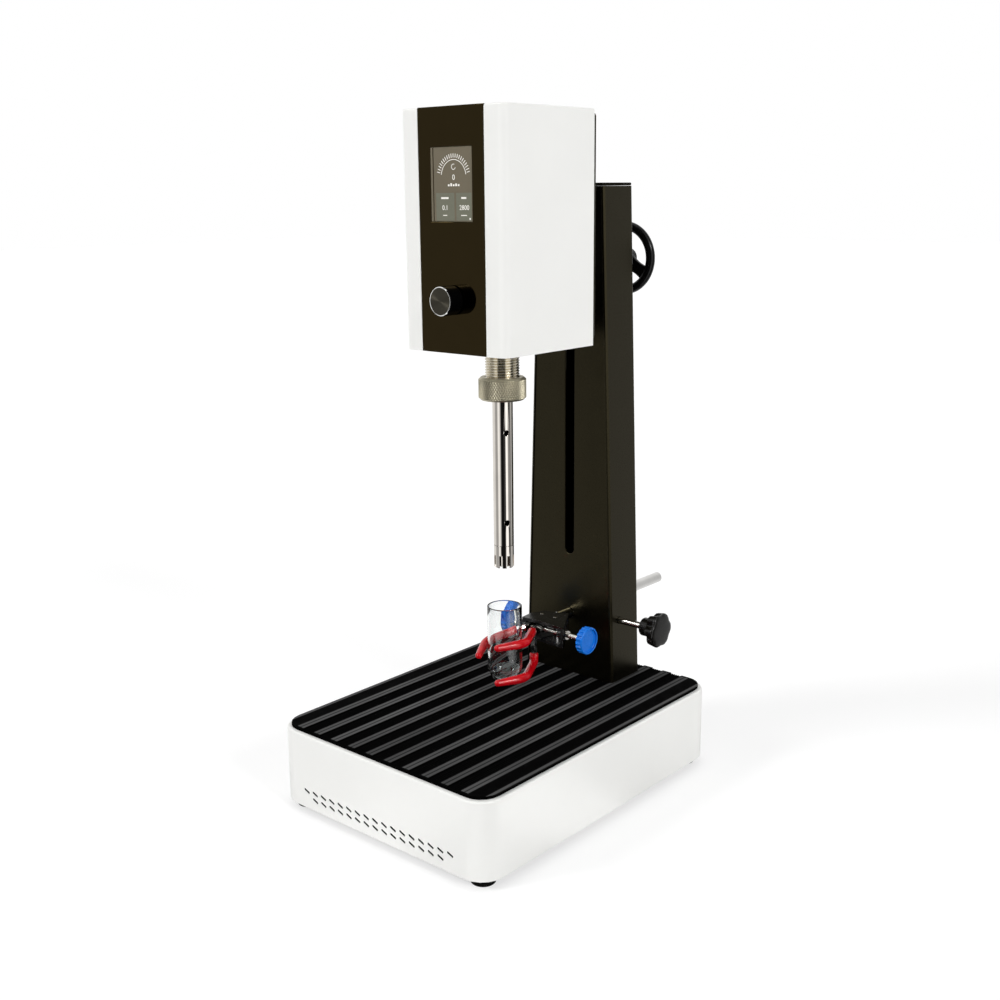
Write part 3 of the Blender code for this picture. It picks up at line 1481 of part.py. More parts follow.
def build_clamp_rod():
    front = CLAMP_WEB_Y + CLAMP_WEB_DEPTH + SEAT_GAP
    bar(
        "clamp_rod",
        ROD_RADIUS,
        (0, front, ROD_HEIGHT),
        (0, ROD_REAR_END, ROD_HEIGHT),
        BRIGHT_STEEL,
        ROUND_SIDES,
        chamfer=ROD_CHAMFER,
    )
    holder = block(
        "rod_clamp_block",
        (-ROD_BLOCK_WIDTH / 2, carriage_front(), ROD_HEIGHT - ROD_BLOCK_BELOW),
        (ROD_BLOCK_WIDTH / 2, rear_wall_inside() - SEAT_GAP, ROD_HEIGHT + ROD_BLOCK_ABOVE),
        ALUMINIUM,
        corner=CARRIAGE_EDGE,
    )
    cut(holder, rod_hole("block_rod_bore", carriage_front(), rear_wall_inside()))
    cut(
        holder,
        bar(
            "block_screw_bore",
            STAR_SCREW_RADIUS + RUNNING_GAP,
            (0, STAR_Y, ROD_HEIGHT),
            (ROD_BLOCK_WIDTH / 2 + CUT_OVERRUN, STAR_Y, ROD_HEIGHT),
            sides=SMALL_SIDES,
        ),
    )


def build_star_screw():
    start = column_half_width(ROD_HEIGHT) + STAR_STANDOFF
    axis = (start, STAR_Y, ROD_HEIGHT)
    screw_end = start + STAR_HUB_LENGTH
    bar(
        "star_screw",
        STAR_SCREW_RADIUS,
        (ROD_RADIUS + SEAT_GAP, STAR_Y, ROD_HEIGHT),
        (screw_end, STAR_Y, ROD_HEIGHT),
        BRIGHT_STEEL,
        SMALL_SIDES,
        origin=axis,
    )
    lobes_start = start + STAR_HUB_LENGTH
    lobes_end = lobes_start + STAR_KNOB_THICKNESS
    rings = [star_ring(start, STAR_HUB_RADIUS, 0), star_ring(lobes_start, STAR_HUB_RADIUS, 0)]
    for along, outward, wave in STAR_RING_SHARES:
        rings.append(
            star_ring(
                lobes_start + STAR_KNOB_THICKNESS * along,
                STAR_HUB_RADIUS + (STAR_KNOB_RADIUS - STAR_HUB_RADIUS) * outward,
                STAR_LOBE_DEPTH * wave,
            )
        )
    knob = lofted("star_knob", rings, origin=axis)
    soften_rims(knob, 0, lobes_end - axis[0], STAR_EDGE)
    finish(knob, BLACK_PLASTIC)
    cut(
        knob,
        bar(
            "star_bore",
            STAR_SCREW_RADIUS + SEAT_GAP,
            (start - CUT_OVERRUN, STAR_Y, ROD_HEIGHT),
            (screw_end + SEAT_GAP, STAR_Y, ROD_HEIGHT),
            sides=SMALL_SIDES,
            origin=axis,
        ),
    )


def soften_rims(made, low, high, inset):
    """Bevels the edges of both end faces of a piece extruded along X."""
    shape = bmesh.new()
    shape.from_mesh(made.data)
    rims = []
    for edge in shape.edges:
        flat = any(all(abs(v.co.x - end) < WELD_DISTANCE for v in edge.verts) for end in (low, high))
        outer = flat and any(abs(face.normal.x) < 0.5 for face in edge.link_faces)
        if outer:
            rims.append(edge)
    bevel_edges(shape, rims, inset, 1)
    shape.to_mesh(made.data)
    shape.free()


def behind_axis(point):
    """The plan place of a point that is given by its distance behind the probe's axis."""
    return (point[0], DRIVE_Y + point[1])


def right_edge_x(y):
    """Where the casting's slanted right side lies at a depth."""
    (x0, y0), (x1, y1) = behind_axis(CLAMP_FRONT_RIGHT), behind_axis(CLAMP_REAR_RIGHT)
    return x0 + (x1 - x0) * (y - y0) / (y1 - y0)


def build_clamp_body():
    """Casting of two plates joined by a web, with a boss on the rod and a lug for each thumb screw."""
    outline = [
        CLAMP_FRONT_LEFT,
        CLAMP_FRONT_MIDDLE,
        CLAMP_FRONT_RIGHT,
        CLAMP_REAR_RIGHT,
        CLAMP_REAR_LEFT,
        CLAMP_MIDDLE_LEFT,
    ]
    bottom = CLAMP_TOP - CLAMP_HEIGHT
    outline = [behind_axis(corner) for corner in outline]
    body = outline_solid("clamp_body", outline, bottom, CLAMP_TOP, "Z", BLACK_PAINT)
    front_y = min(y for x, y in outline) - CUT_OVERRUN
    lug_rear = THUMB_Y + CLAMP_LUG_DEPTH / 2
    gap_low, gap_high = bottom + CLAMP_PLATE, CLAMP_TOP - CLAMP_PLATE
    lug_gap = [
        (CLAMP_FRONT_LEFT[0] + CLAMP_LUG_THICKNESS, front_y),
        (right_edge_x(front_y) - CLAMP_LUG_THICKNESS, front_y),
        (right_edge_x(lug_rear + CUT_OVERRUN) - CLAMP_LUG_THICKNESS, lug_rear + CUT_OVERRUN),
        (CLAMP_FRONT_LEFT[0] + CLAMP_LUG_THICKNESS, lug_rear + CUT_OVERRUN),
    ]
    cut(body, outline_solid("clamp_gap", lug_gap, gap_low, gap_high))
    cut(
        body,
        block(
            "clamp_gap_rear",
            (CLAMP_MIDDLE_LEFT[0] - CUT_OVERRUN, lug_rear, gap_low),
            (CLAMP_FRONT_RIGHT[0] + CUT_OVERRUN, CLAMP_WEB_Y, gap_high),
        ),
    )
    for name, ends in (("right", SCREW_BOSS_RIGHT), ("left", SCREW_BOSS_LEFT)):
        near, far = ((x, THUMB_Y, THUMB_HEIGHT) for x in ends)
        join(body, bar(f"screw_boss_{name}", SCREW_BOSS_RADIUS, near, far, sides=SMALL_SIDES))
        reach = Vector((math.copysign(CUT_OVERRUN, ends[1]), 0, 0))
        hole = THUMB_SCREW_RADIUS + RUNNING_GAP
        cut(body, bar(f"screw_hole_{name}", hole, Vector(near) - reach, Vector(far) + reach, sides=SMALL_SIDES))
    join(
        body,
        bar(
            "clamp_boss",
            CLAMP_BOSS_RADIUS,
            (0, CLAMP_WEB_Y + CLAMP_WEB_DEPTH / 3, ROD_HEIGHT - (CLAMP_BOSS_RADIUS - ROD_RADIUS)),
            (0, CLAMP_WEB_Y + CLAMP_WEB_DEPTH + CLAMP_BOSS_LENGTH, ROD_HEIGHT - (CLAMP_BOSS_RADIUS - ROD_RADIUS)),
            sides=SMALL_SIDES,
        ),
    )
    cut(
        body,
        bar(
            "clamp_rod_socket",
            ROD_RADIUS + SEAT_GAP,
            (0, CLAMP_WEB_Y + CLAMP_WEB_DEPTH, ROD_HEIGHT),
            (0, CLAMP_WEB_Y + CLAMP_WEB_DEPTH + CLAMP_BOSS_LENGTH + CUT_OVERRUN, ROD_HEIGHT),
        ),
    )
    for name, way in (("right", 1), ("left", -1)):
        x = way * JAW_PIVOT_X
        cut(
            body,
            bar(
                f"clamp_pin_hole_{name}",
                JAW_PIN_RADIUS + SEAT_GAP,
                (x, JAW_PIVOT_Y, bottom - CUT_OVERRUN),
                (x, JAW_PIVOT_Y, CLAMP_TOP + CUT_OVERRUN),
                sides=SMALL_SIDES,
            ),
        )
        bar(
            f"jaw_pin_{name}",
            JAW_PIN_RADIUS,
            (x, JAW_PIVOT_Y, bottom),
            (x, JAW_PIVOT_Y, CLAMP_TOP),
            BRIGHT_STEEL,
            SMALL_SIDES,
        )


def prong_route(post, elbow, tip, heights, start_share=0.0, end_trim=0.0):
    """Points of a bent prong: straight to the elbow, rounded there, straight to the tip.

    It falls evenly from the first height, at the post, to the second, at the tip.
    """
    root_z, tip_z = heights
    first_leg, second_leg = math.dist(post, elbow), math.dist(elbow, tip)
    elbow_z = root_z + (tip_z - root_z) * first_leg / (first_leg + second_leg)
    post, elbow, tip = Vector((*post, root_z)), Vector((*elbow, elbow_z)), Vector((*tip, tip_z))
    first, second = (elbow - post).normalized(), (tip - elbow).normalized()
    begin, finish_at = elbow - first * SLEEVE_BEND_LENGTH, elbow + second * SLEEVE_BEND_LENGTH
    points = [post + (elbow - post) * start_share]
    for index in range(SLEEVE_BEND_STEPS + 1):
        t = index / SLEEVE_BEND_STEPS
        points.append((1 - t) ** 2 * begin + 2 * t * (1 - t) * elbow + t**2 * finish_at)
    points.append(tip - second * end_trim)
    return points


def build_jaw(side, post_x, prongs, elbow, tip):
    """One jaw: hub on its pin, arm, upright post and its bent prongs, each in a soft sleeve.

    Each prong is a pair of heights, at its root and at its tip.
    """
    way = 1 if side == "right" else -1
    pivot = (way * JAW_PIVOT_X, JAW_PIVOT_Y, CLAMP_TOP)
    hub_low = CLAMP_TOP - CLAMP_HEIGHT + CLAMP_PLATE + SLOT_GAP
    hub_high = CLAMP_TOP - CLAMP_PLATE - SLOT_GAP
    half = JAW_ARM_THICKNESS / 2
    x, y = way * JAW_PIVOT_X, JAW_PIVOT_Y
    arm_outline = [
        (x - half, y),
        (post_x - half, JAW_POST_Y - half),
        (post_x + half, JAW_POST_Y - half),
        (x + half, y),
    ]
    jaw = outline_solid(f"jaw_{side}", arm_outline, hub_low, hub_high, "Z", origin=pivot)
    join(jaw, bar(f"jaw_hub_{side}", JAW_HUB_RADIUS, (x, y, hub_low), (x, y, hub_high), sides=SMALL_SIDES, origin=pivot))
    post_half = JAW_POST_SIZE / 2
    post_low = min([hub_low] + [root - PRONG_RADIUS - post_half for root, end in prongs])
    post_high = max([hub_high] + [root + PRONG_RADIUS for root, end in prongs])
    join(
        jaw,
        block(
            f"jaw_post_{side}",
            (post_x - post_half - WELD_DISTANCE, JAW_POST_Y - post_half - half, post_low - WELD_DISTANCE),
            (post_x + post_half + WELD_DISTANCE, JAW_POST_Y + WELD_DISTANCE, post_high + WELD_DISTANCE),
            origin=pivot,
        ),
    )
    start, elbow, tip = (post_x, JAW_POST_Y - half), behind_axis(elbow), behind_axis(tip)
    for index, heights in enumerate(prongs):
        route = prong_route(start, elbow, tip, heights, end_trim=SLEEVE_TIP_LENGTH)
        join(jaw, wire_solid(f"prong_{side}_{index}", route, PRONG_RADIUS, origin=pivot))
        place = {0: "upper", 1: "lower"}[index] if len(prongs) > 1 else "single"
        bare = (JAW_POST_SIZE + SLEEVE_BARE_LENGTH) / math.dist(start, elbow)
        outer = prong_route(start, elbow, tip, heights, start_share=bare)
        sleeve = wire_solid(
            f"sleeve_{side}_{place}", outer, SLEEVE_RADIUS, origin=pivot, look=RED_VINYL, end_radius=SLEEVE_TIP_RADIUS
        )
        inner = prong_route(start, elbow, tip, heights, end_trim=SLEEVE_TIP_LENGTH - SEAT_GAP)
        cut(sleeve, wire_solid(f"sleeve_bore_{side}_{index}", inner, PRONG_RADIUS + SEAT_GAP, origin=pivot))
    cut(
        jaw,
        bar(
            f"jaw_pin_bore_{side}",
            JAW_PIN_RADIUS + RUNNING_GAP,
            (x, y, hub_low - CUT_OVERRUN),
            (x, y, hub_high + CUT_OVERRUN),
            sides=SMALL_SIDES,
            origin=pivot,
        ),
    )
    arm_x = post_x + (x - post_x) * (THUMB_Y - JAW_POST_Y) / (JAW_PIVOT_Y - JAW_POST_Y)
    reach = JAW_ARM_THICKNESS + CUT_OVERRUN
    cut(
        jaw,
        bar(
            f"jaw_screw_hole_{side}",
            THUMB_SCREW_RADIUS + THUMB_HOLE_CLEARANCE,
            (arm_x - reach, THUMB_Y, THUMB_HEIGHT),
            (arm_x + reach, THUMB_Y, THUMB_HEIGHT),
            sides=SMALL_SIDES,
            origin=pivot,
        ),
    )
    return finish(jaw, BRIGHT_STEEL)


def thumb_ring(x, radius, groove):
    """One ring of a thumb knob: every third point lies at the bottom of a groove."""
    points = []
    count = THUMB_FLUTES * 3
    for index in range(count):
        angle = 2 * math.pi * index / count
        reach = radius - (groove if index % 3 == 2 else 0)
        points.append((x, THUMB_Y + reach * math.cos(angle), THUMB_HEIGHT + reach * math.sin(angle)))
    return points


def build_thumb_screw(side, lug_face, outer_face, tip_x):
    """Thumb screw held by its lug: a collar outside the boss, and the ribbed knob with its dished face."""
    way = 1 if side == "right" else -1
    inner_face = outer_face - way * THUMB_KNOB_THICKNESS
    axis = (inner_face, THUMB_Y, THUMB_HEIGHT)
    screw_end = inner_face + way * THUMB_KNOB_THICKNESS / 2
    screw = bar(
        f"thumb_screw_{side}",
        THUMB_SCREW_RADIUS,
        (tip_x, THUMB_Y, THUMB_HEIGHT),
        (screw_end, THUMB_Y, THUMB_HEIGHT),
        BRIGHT_STEEL,
        SMALL_SIDES,
        origin=axis,
    )
    collar_start = lug_face + way * SEAT_GAP
    join(
        screw,
        bar(
            f"thumb_collar_{side}",
            THUMB_COLLAR_RADIUS,
            (collar_start, THUMB_Y, THUMB_HEIGHT),
            (collar_start + way * THUMB_COLLAR_LENGTH, THUMB_Y, THUMB_HEIGHT),
            sides=SMALL_SIDES,
            origin=axis,
        ),
    )
    rings = [
        thumb_ring(inner_face, THUMB_KNOB_RADIUS, THUMB_FLUTE_DEPTH),
        thumb_ring(outer_face - way * THUMB_EDGE, THUMB_KNOB_RADIUS, THUMB_FLUTE_DEPTH),
        thumb_ring(outer_face, THUMB_KNOB_RADIUS - THUMB_EDGE, 0),
    ]
    knob = lofted(f"thumb_knob_{side}", rings, BLUE_PLASTIC, origin=axis)
    cut(
        knob,
        bar(
            f"thumb_dish_{side}",
            THUMB_KNOB_RADIUS - THUMB_RIM_WIDTH,
            (outer_face - way * THUMB_DISH_DEPTH, THUMB_Y, THUMB_HEIGHT),
            (outer_face + way * CUT_OVERRUN, THUMB_Y, THUMB_HEIGHT),
            origin=axis,
        ),
    )
    cut(
        knob,
        bar(
            f"thumb_bore_{side}",
            THUMB_SCREW_RADIUS + SEAT_GAP,
            (inner_face - way * CUT_OVERRUN, THUMB_Y, THUMB_HEIGHT),
            (screw_end + way * SEAT_GAP, THUMB_Y, THUMB_HEIGHT),
            sides=SMALL_SIDES,
            origin=axis,
        ),
    )


def build_clamp():
    build_clamp_body()
    upper, lower = CLAMP_TOP - RIGHT_UPPER_DROP, CLAMP_TOP - RIGHT_LOWER_DROP
    build_jaw("right", JAW_POST_X, ((upper, upper), (lower, lower)), RIGHT_ELBOW, RIGHT_TIP)
    left = (CLAMP_TOP - LEFT_ROOT_DROP, CLAMP_TOP - LEFT_TIP_DROP)
    build_jaw("left", JAW_POST_LEFT_X, (left,), LEFT_ELBOW, LEFT_TIP)
    build_thumb_screw("right", SCREW_BOSS_RIGHT[1], THUMB_RIGHT_FACE, THUMB_TIP_RIGHT)
    build_thumb_screw("left", SCREW_BOSS_LEFT[1], THUMB_LEFT_FACE, THUMB_TIP_LEFT)


def build_glass():
    """Round-bottomed glass tube, open at the top, on the probe's axis."""
    inner = GLASS_RADIUS - GLASS_WALL
    middle = GLASS_BOTTOM + GLASS_RADIUS
    outside, inside = [], []
    for index in range(GLASS_ARC_STEPS + 1):
        angle = math.pi / 2 * index / GLASS_ARC_STEPS
        outside.append((GLASS_RADIUS * math.cos(angle), middle - GLASS_RADIUS * math.sin(angle)))
        inside.append((inner * math.cos(angle), middle - inner * math.sin(angle)))
    outside[-1] = (0, GLASS_BOTTOM)
    inside[-1] = (0, GLASS_BOTTOM + GLASS_WALL)
    profile = inside[::-1] + [(inner, GLASS_RIM), (GLASS_RADIUS, GLASS_RIM)] + outside
    turned("glass_tube", profile, (0, DRIVE_Y, GLASS_BOTTOM), "Z", CLEAR_GLASS, ROUND_SIDES)


def build_power():
    """Power supply in the base, the inlet with its three blades, and the rocker switch."""
    floor = BASE_BOTTOM + BASE_PLATE_THICKNESS + 2 * SEAT_GAP
    block(
        "power_supply",
        (-SUPPLY_WIDTH / 2, SUPPLY_Y - SUPPLY_DEPTH / 2, floor),
        (SUPPLY_WIDTH / 2, SUPPLY_Y + SUPPLY_DEPTH / 2, floor + SUPPLY_HEIGHT),
        ALUMINIUM,
        corner=CARRIAGE_EDGE,
    )
    wall = BASE_DEPTH / 2
    inlet = flanged_body("power_inlet", INLET_X, INLET_WIDTH, INLET_TALL, INLET_DEPTH, BLACK_PLASTIC)
    mouth = wall + SEAT_GAP + INLET_FLANGE_THICKNESS
    cut(
        inlet,
        block(
            "inlet_socket",
            (INLET_X - INLET_SOCKET_WIDTH / 2, mouth - INLET_SOCKET_DEPTH, INLET_HEIGHT - INLET_SOCKET_TALL / 2),
            (INLET_X + INLET_SOCKET_WIDTH / 2, mouth + CUT_OVERRUN, INLET_HEIGHT + INLET_SOCKET_TALL / 2),
        ),
    )
    for index, (step, rise) in enumerate(((-1, 0), (0, INLET_PIN_RISE), (1, 0))):
        x = INLET_X + step * INLET_PIN_SPACING
        z = INLET_HEIGHT + rise
        join(
            inlet,
            block(
                f"inlet_blade_{index}",
                (x - INLET_PIN_WIDTH / 2, mouth - INLET_SOCKET_DEPTH - INLET_PIN_WIDTH, z - INLET_PIN_TALL / 2),
                (x + INLET_PIN_WIDTH / 2, mouth - INLET_PIN_SETBACK, z + INLET_PIN_TALL / 2),
            ),
        )
    bezel = flanged_body("switch_bezel", SWITCH_X, SWITCH_BEZEL_WIDTH, SWITCH_BEZEL_TALL, SWITCH_DEPTH, BLACK_PLASTIC)
    hollow_w, hollow_t = SWITCH_BEZEL_WIDTH / 2 - SWITCH_WALL, SWITCH_BEZEL_TALL / 2 - SWITCH_WALL
    cut(
        bezel,
        block(
            "switch_hollow",
            (SWITCH_X - hollow_w, mouth - SWITCH_DEPTH + SWITCH_WALL, INLET_HEIGHT - hollow_t),
            (SWITCH_X + hollow_w, mouth + CUT_OVERRUN, INLET_HEIGHT + hollow_t),
        ),
    )
    axis = (SWITCH_X, mouth - ROCKER_DEPTH / 2, INLET_HEIGHT)
    half_w, half_t = hollow_w - ROCKER_SWING_GAP, hollow_t - SLOT_GAP
    crown = ROCKER_DEPTH / 2 - ROCKER_SETBACK
    edge = crown + half_w * math.tan(ROCKER_FACE_SLOPE)
    foot_w = half_w - ROCKER_SWING_GAP
    outline = [(-half_w, edge), (0, crown), (half_w, edge), (foot_w, -ROCKER_DEPTH / 2), (-foot_w, -ROCKER_DEPTH / 2)]
    turn = Matrix.Rotation(ROCKER_TILT, 2)
    placed = [Vector(axis[:2]) + turn @ Vector(point) for point in outline]
    outline_solid(
        "rocker_switch",
        placed,
        INLET_HEIGHT - half_t,
        INLET_HEIGHT + half_t,
        "Z",
        BLACK_PLASTIC,
        origin=axis,
    )


def flanged_body(name, x, width, tall, depth, look):
    """A box through the rear wall with a flange on the outside of it."""
    wall = BASE_DEPTH / 2
    outer = wall + SEAT_GAP
    flange = block(
        name,
        (x - width / 2 - INLET_FLANGE, outer, INLET_HEIGHT - tall / 2 - INLET_FLANGE),
        (x + width / 2 + INLET_FLANGE, outer + INLET_FLANGE_THICKNESS, INLET_HEIGHT + tall / 2 + INLET_FLANGE),
        look,
        corner=INLET_FLANGE / 2,
        axis=1,
    )
    join(
        flange,
        block(
            f"{name}_box",
            (x - width / 2, outer + INLET_FLANGE_THICKNESS - depth, INLET_HEIGHT - tall / 2),
            (x + width / 2, outer + INLET_FLANGE_THICKNESS / 2, INLET_HEIGHT + tall / 2),
        ),
    )
    return flange


build_base()
build_mat()
build_column()
build_guides()
build_carriage()
build_rack_and_pinion()
build_handwheel()
build_head_casing()
build_bottom_plate()
build_control_board()
build_knob()
build_motor()
build_collar_and_nut()
build_probe()
build_clamp_rod()
build_star_screw()
build_clamp()
build_glass()
build_power()
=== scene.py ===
"""Looks of the bench homogenizer: finishes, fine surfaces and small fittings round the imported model.

Metres, +Z up, the same frame as the model: the front faces -Y and the floor is at zero.
"""

import json
import math

import bmesh
import bpy
from mathutils import Matrix, Vector


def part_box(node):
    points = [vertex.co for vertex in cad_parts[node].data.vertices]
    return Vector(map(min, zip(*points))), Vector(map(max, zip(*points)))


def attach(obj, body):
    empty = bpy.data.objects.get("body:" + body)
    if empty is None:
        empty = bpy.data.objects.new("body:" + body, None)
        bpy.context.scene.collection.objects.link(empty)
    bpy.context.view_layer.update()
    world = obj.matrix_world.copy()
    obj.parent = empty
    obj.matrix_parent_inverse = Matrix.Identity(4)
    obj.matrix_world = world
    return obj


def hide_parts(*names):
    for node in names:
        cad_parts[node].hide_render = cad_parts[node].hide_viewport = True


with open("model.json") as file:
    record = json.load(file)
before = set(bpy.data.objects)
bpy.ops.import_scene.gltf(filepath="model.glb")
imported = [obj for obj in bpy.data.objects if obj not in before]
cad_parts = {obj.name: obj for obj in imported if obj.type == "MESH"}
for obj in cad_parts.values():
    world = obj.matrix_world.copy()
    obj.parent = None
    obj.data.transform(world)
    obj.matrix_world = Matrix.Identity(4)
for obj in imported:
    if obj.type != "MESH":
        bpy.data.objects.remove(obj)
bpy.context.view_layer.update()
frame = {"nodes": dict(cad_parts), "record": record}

MM = 0.001
TAU = 2 * math.pi
UP = Vector((0, 0, 1))

# Camera fitted to the photograph
CAMERA_PLACE = Vector((0.7178, -0.8213, 0.5329))
CAMERA_YAW = math.radians(41.12)
CAMERA_PITCH = math.radians(13.59)
CAMERA_ROLL = math.radians(-0.60)
CAMERA_LENS_PIXELS = 1270.74
PICTURE_PIXELS = 1000
SENSOR_MM = 36

# Shading of pieces
SMOOTH_ANGLE = math.radians(38)
SHELL_ANGLE = math.radians(48)
ROUND_ANGLE = math.radians(60)
FLAT_ANGLE = math.radians(0.6)
EDGE_ANGLE = math.radians(30)
MERGE_DISTANCE = 0.002 * MM


def centre_of(node):
    low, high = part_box(node)
    return (low + high) / 2


def body_of(node):
    return next(name for name, nodes in frame["record"]["behaviour"]["bodies"].items() if node in nodes)


def slot_of(node):
    return next(part["material_slot"] for part in frame["record"]["subparts"] if part["node"] == node)


class Tree:
    """A short way to build a node tree."""

    def __init__(self, tree):
        self.tree = tree

    def node(self, kind, links=(), **settings):
        """A node with its settings, whose inputs are set or linked by name or place."""
        made = self.tree.nodes.new(kind)
        for key, value in settings.items():
            setattr(made, key, value)
        for socket, value in dict(links).items():
            if isinstance(value, bpy.types.NodeSocket):
                self.tree.links.new(value, made.inputs[socket])
            else:
                made.inputs[socket].default_value = value
        return made

    def math(self, operation, first, second=0.0):
        return self.node("ShaderNodeMath", {0: first, 1: second}, operation=operation).outputs[0]

    def axes(self, place):
        """The X, Y and Z of a place."""
        return self.node("ShaderNodeSeparateXYZ", {0: place}).outputs


# Materials

MAT_PITCH = 21.65 * MM
SHELL_WHITE = (0.885, 0.885, 0.862)
WHITE_CLOUDS = 0.015


class Shades(Tree):
    """One material, with its nodes."""

    def __init__(self, name, **constants):
        self.material = bpy.data.materials.new(name)
        self.material.use_nodes = True
        super().__init__(self.material.node_tree)
        self.shader = self.tree.nodes["Principled BSDF"]
        self.place = self.tree.nodes.new("ShaderNodeTexCoord").outputs["Object"]
        for key, value in constants.items():
            self.shader.inputs[key.replace("_", " ")].default_value = value

    def mapped(self, stretch=(1, 1, 1), centre=(0, 0, 0)):
        links = {"Vector": self.place, "Scale": stretch, "Location": centre}
        return self.node("ShaderNodeMapping", links).outputs["Vector"]

    def noise(self, scale, vector=None, detail=2.0):
        links = {"Scale": scale, "Detail": detail, "Vector": vector or self.place}
        return self.node("ShaderNodeTexNoise", links).outputs["Fac"]

    def ranged(self, value, low, high, start=0.3, end=0.7):
        links = {"Value": value, "From Min": start, "From Max": end, "To Min": low, "To Max": high}
        return self.node("ShaderNodeMapRange", links).outputs["Result"]

    def inside(self, axis, low, high, edge=0.02 * MM):
        """1 where a place along X, Y or Z lies between two values, else 0."""
        place = self.axes(self.place)[axis]
        rise = self.ranged(place, 0, 1, low, low + edge)
        return self.math("MULTIPLY", rise, self.ranged(place, 1, 0, high - edge, high))

    def blend(self, share, first, second):
        """Mixes two colours, each a colour or a node's output."""
        first, second = ((*c, 1) if isinstance(c, tuple) else c for c in (first, second))
        links = {"Factor": share, 6: first, 7: second}
        return self.node("ShaderNodeMix", links, data_type="RGBA").outputs[2]

    def set(self, socket, value):
        self.tree.links.new(value, self.shader.inputs[socket])

    def cloudy(self, colour, depth=0.06, scale=22):
        """The colour with slow, faint clouds of darker tone."""
        cloud = self.ranged(self.noise(scale, detail=3), 0, 1)
        return self.blend(cloud, scaled(colour, 1 - depth), colour)

    def bump(self, height, depth, strength=1.0):
        made = self.node("ShaderNodeBump", {"Height": height, "Distance": depth, "Strength": strength})
        self.set("Normal", made.outputs["Normal"])


def scaled(colour, share):
    return tuple(channel * share for channel in colour)


def painted(name, colour, roughness, gloss=0.5, peel=0.02 * MM, peel_scale=900, spread=0.05, clouds=0.06):
    """Sprayed paint or moulded plastic: even colour, slight orange peel and handling marks."""
    look = Shades(name, Specular_IOR_Level=gloss)
    look.set("Base Color", look.cloudy(colour, clouds))
    look.set("Roughness", look.ranged(look.noise(60, detail=4), roughness - spread, roughness + spread))
    look.bump(look.noise(peel_scale, detail=1), peel)
    return look


def metal(name, colour, roughness, stretch=(1, 1, 1), grain=2600, depth=0.003 * MM, spread=0.04, mottle=0.1):
    """Metal, bare or darkened, whose fine grain is drawn out along the way it was worked."""
    look = Shades(name, Metallic=1)
    lines = look.noise(grain, look.mapped(stretch), detail=3)
    look.set("Base Color", look.cloudy(colour, mottle, 60))
    look.set("Roughness", look.ranged(lines, roughness - spread, roughness + spread))
    look.bump(lines, depth, 0.6)
    return look.material


def spun_metal(name, colour, centre):
    """Turned face: fine rings round an axis along Y, which catch the light as a fan."""
    look = Shades(name, Metallic=1, Anisotropic=0.9, Base_Color=(*colour, 1))
    away = look.mapped((1, 0, 1), (-centre[0], 0, -centre[2]))
    radius = look.node("ShaderNodeVectorMath", {0: away}, operation="LENGTH").outputs["Value"]
    rings = look.noise(5200, look.node("ShaderNodeCombineXYZ", {"X": radius}).outputs[0])
    look.set("Roughness", look.ranged(rings, 0.3, 0.46))
    look.bump(rings, 0.01 * MM, 0.6)
    round_it = look.node("ShaderNodeVectorMath", {0: away, 1: (0, 1, 0)}, operation="CROSS_PRODUCT")
    tidy = look.node("ShaderNodeVectorMath", {0: round_it.outputs[0]}, operation="NORMALIZE")
    look.set("Tangent", tidy.outputs[0])
    return look.material


def rubber(name, colour, roughness):
    """Soft black rubber with a fine matt skin."""
    look = Shades(name, Specular_IOR_Level=0.12)
    look.set("Base Color", look.cloudy(colour, 0.4, 30))
    look.set("Roughness", look.ranged(look.noise(90, detail=4), roughness - 0.08, roughness + 0.08))
    look.bump(look.noise(1400, detail=3), 0.02 * MM, 0.7)
    return look.material


def mat_rubber(name):
    """Ribbed mat: black, with painted sheen: two grey lines along each of the strips that stand proud, where
    their edges would catch the light.
    """
    low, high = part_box("ribbed_mat")
    look = Shades(name, Specular_IOR_Level=0.01)
    inner_edge, outer_edge = (0.3 * MM, 1.3 * MM), (3.4 * MM, 4.2 * MM)
    # Painted sheen: the grey lines stand in for the light that the strips' edges catch, as the mat has
    # almost no gloss of its own.
    x = look.axes(look.place)["X"]
    off_centre = look.math("SUBTRACT", 0.5, look.math("PINGPONG", look.math("DIVIDE", x, MAT_PITCH), 0.5))
    off_centre = look.math("MULTIPLY", off_centre, MAT_PITCH)
    lines = look.ranged(off_centre, 0.3, 1, *inner_edge)
    lines = look.math("MULTIPLY", lines, look.ranged(off_centre, 1, 0, *outer_edge))
    for axis, near, far in (("Z", high.z - 0.12 * MM, high.z + MM), ("Y", low.y + 2 * MM, high.y - 2 * MM)):
        lines = look.math("MULTIPLY", lines, look.inside(axis, near, far))
    sheen_variation = look.ranged(look.noise(16, look.mapped((1, 0.25, 1)), detail=4), 0, 1)
    painted_sheen_tone = look.blend(sheen_variation, (0.055, 0.055, 0.055), (0.11, 0.11, 0.11))
    look.set("Base Color", look.blend(lines, (0.0012, 0.0012, 0.0012), painted_sheen_tone))
    look.set("Roughness", look.ranged(look.noise(90, detail=4), 0.72, 0.9))
    look.bump(look.noise(1500, detail=3), 0.02 * MM, 0.6)
    return look.material


def white_paint(name):
    return painted(name, SHELL_WHITE, 0.34, peel=0.015 * MM, clouds=WHITE_CLOUDS)


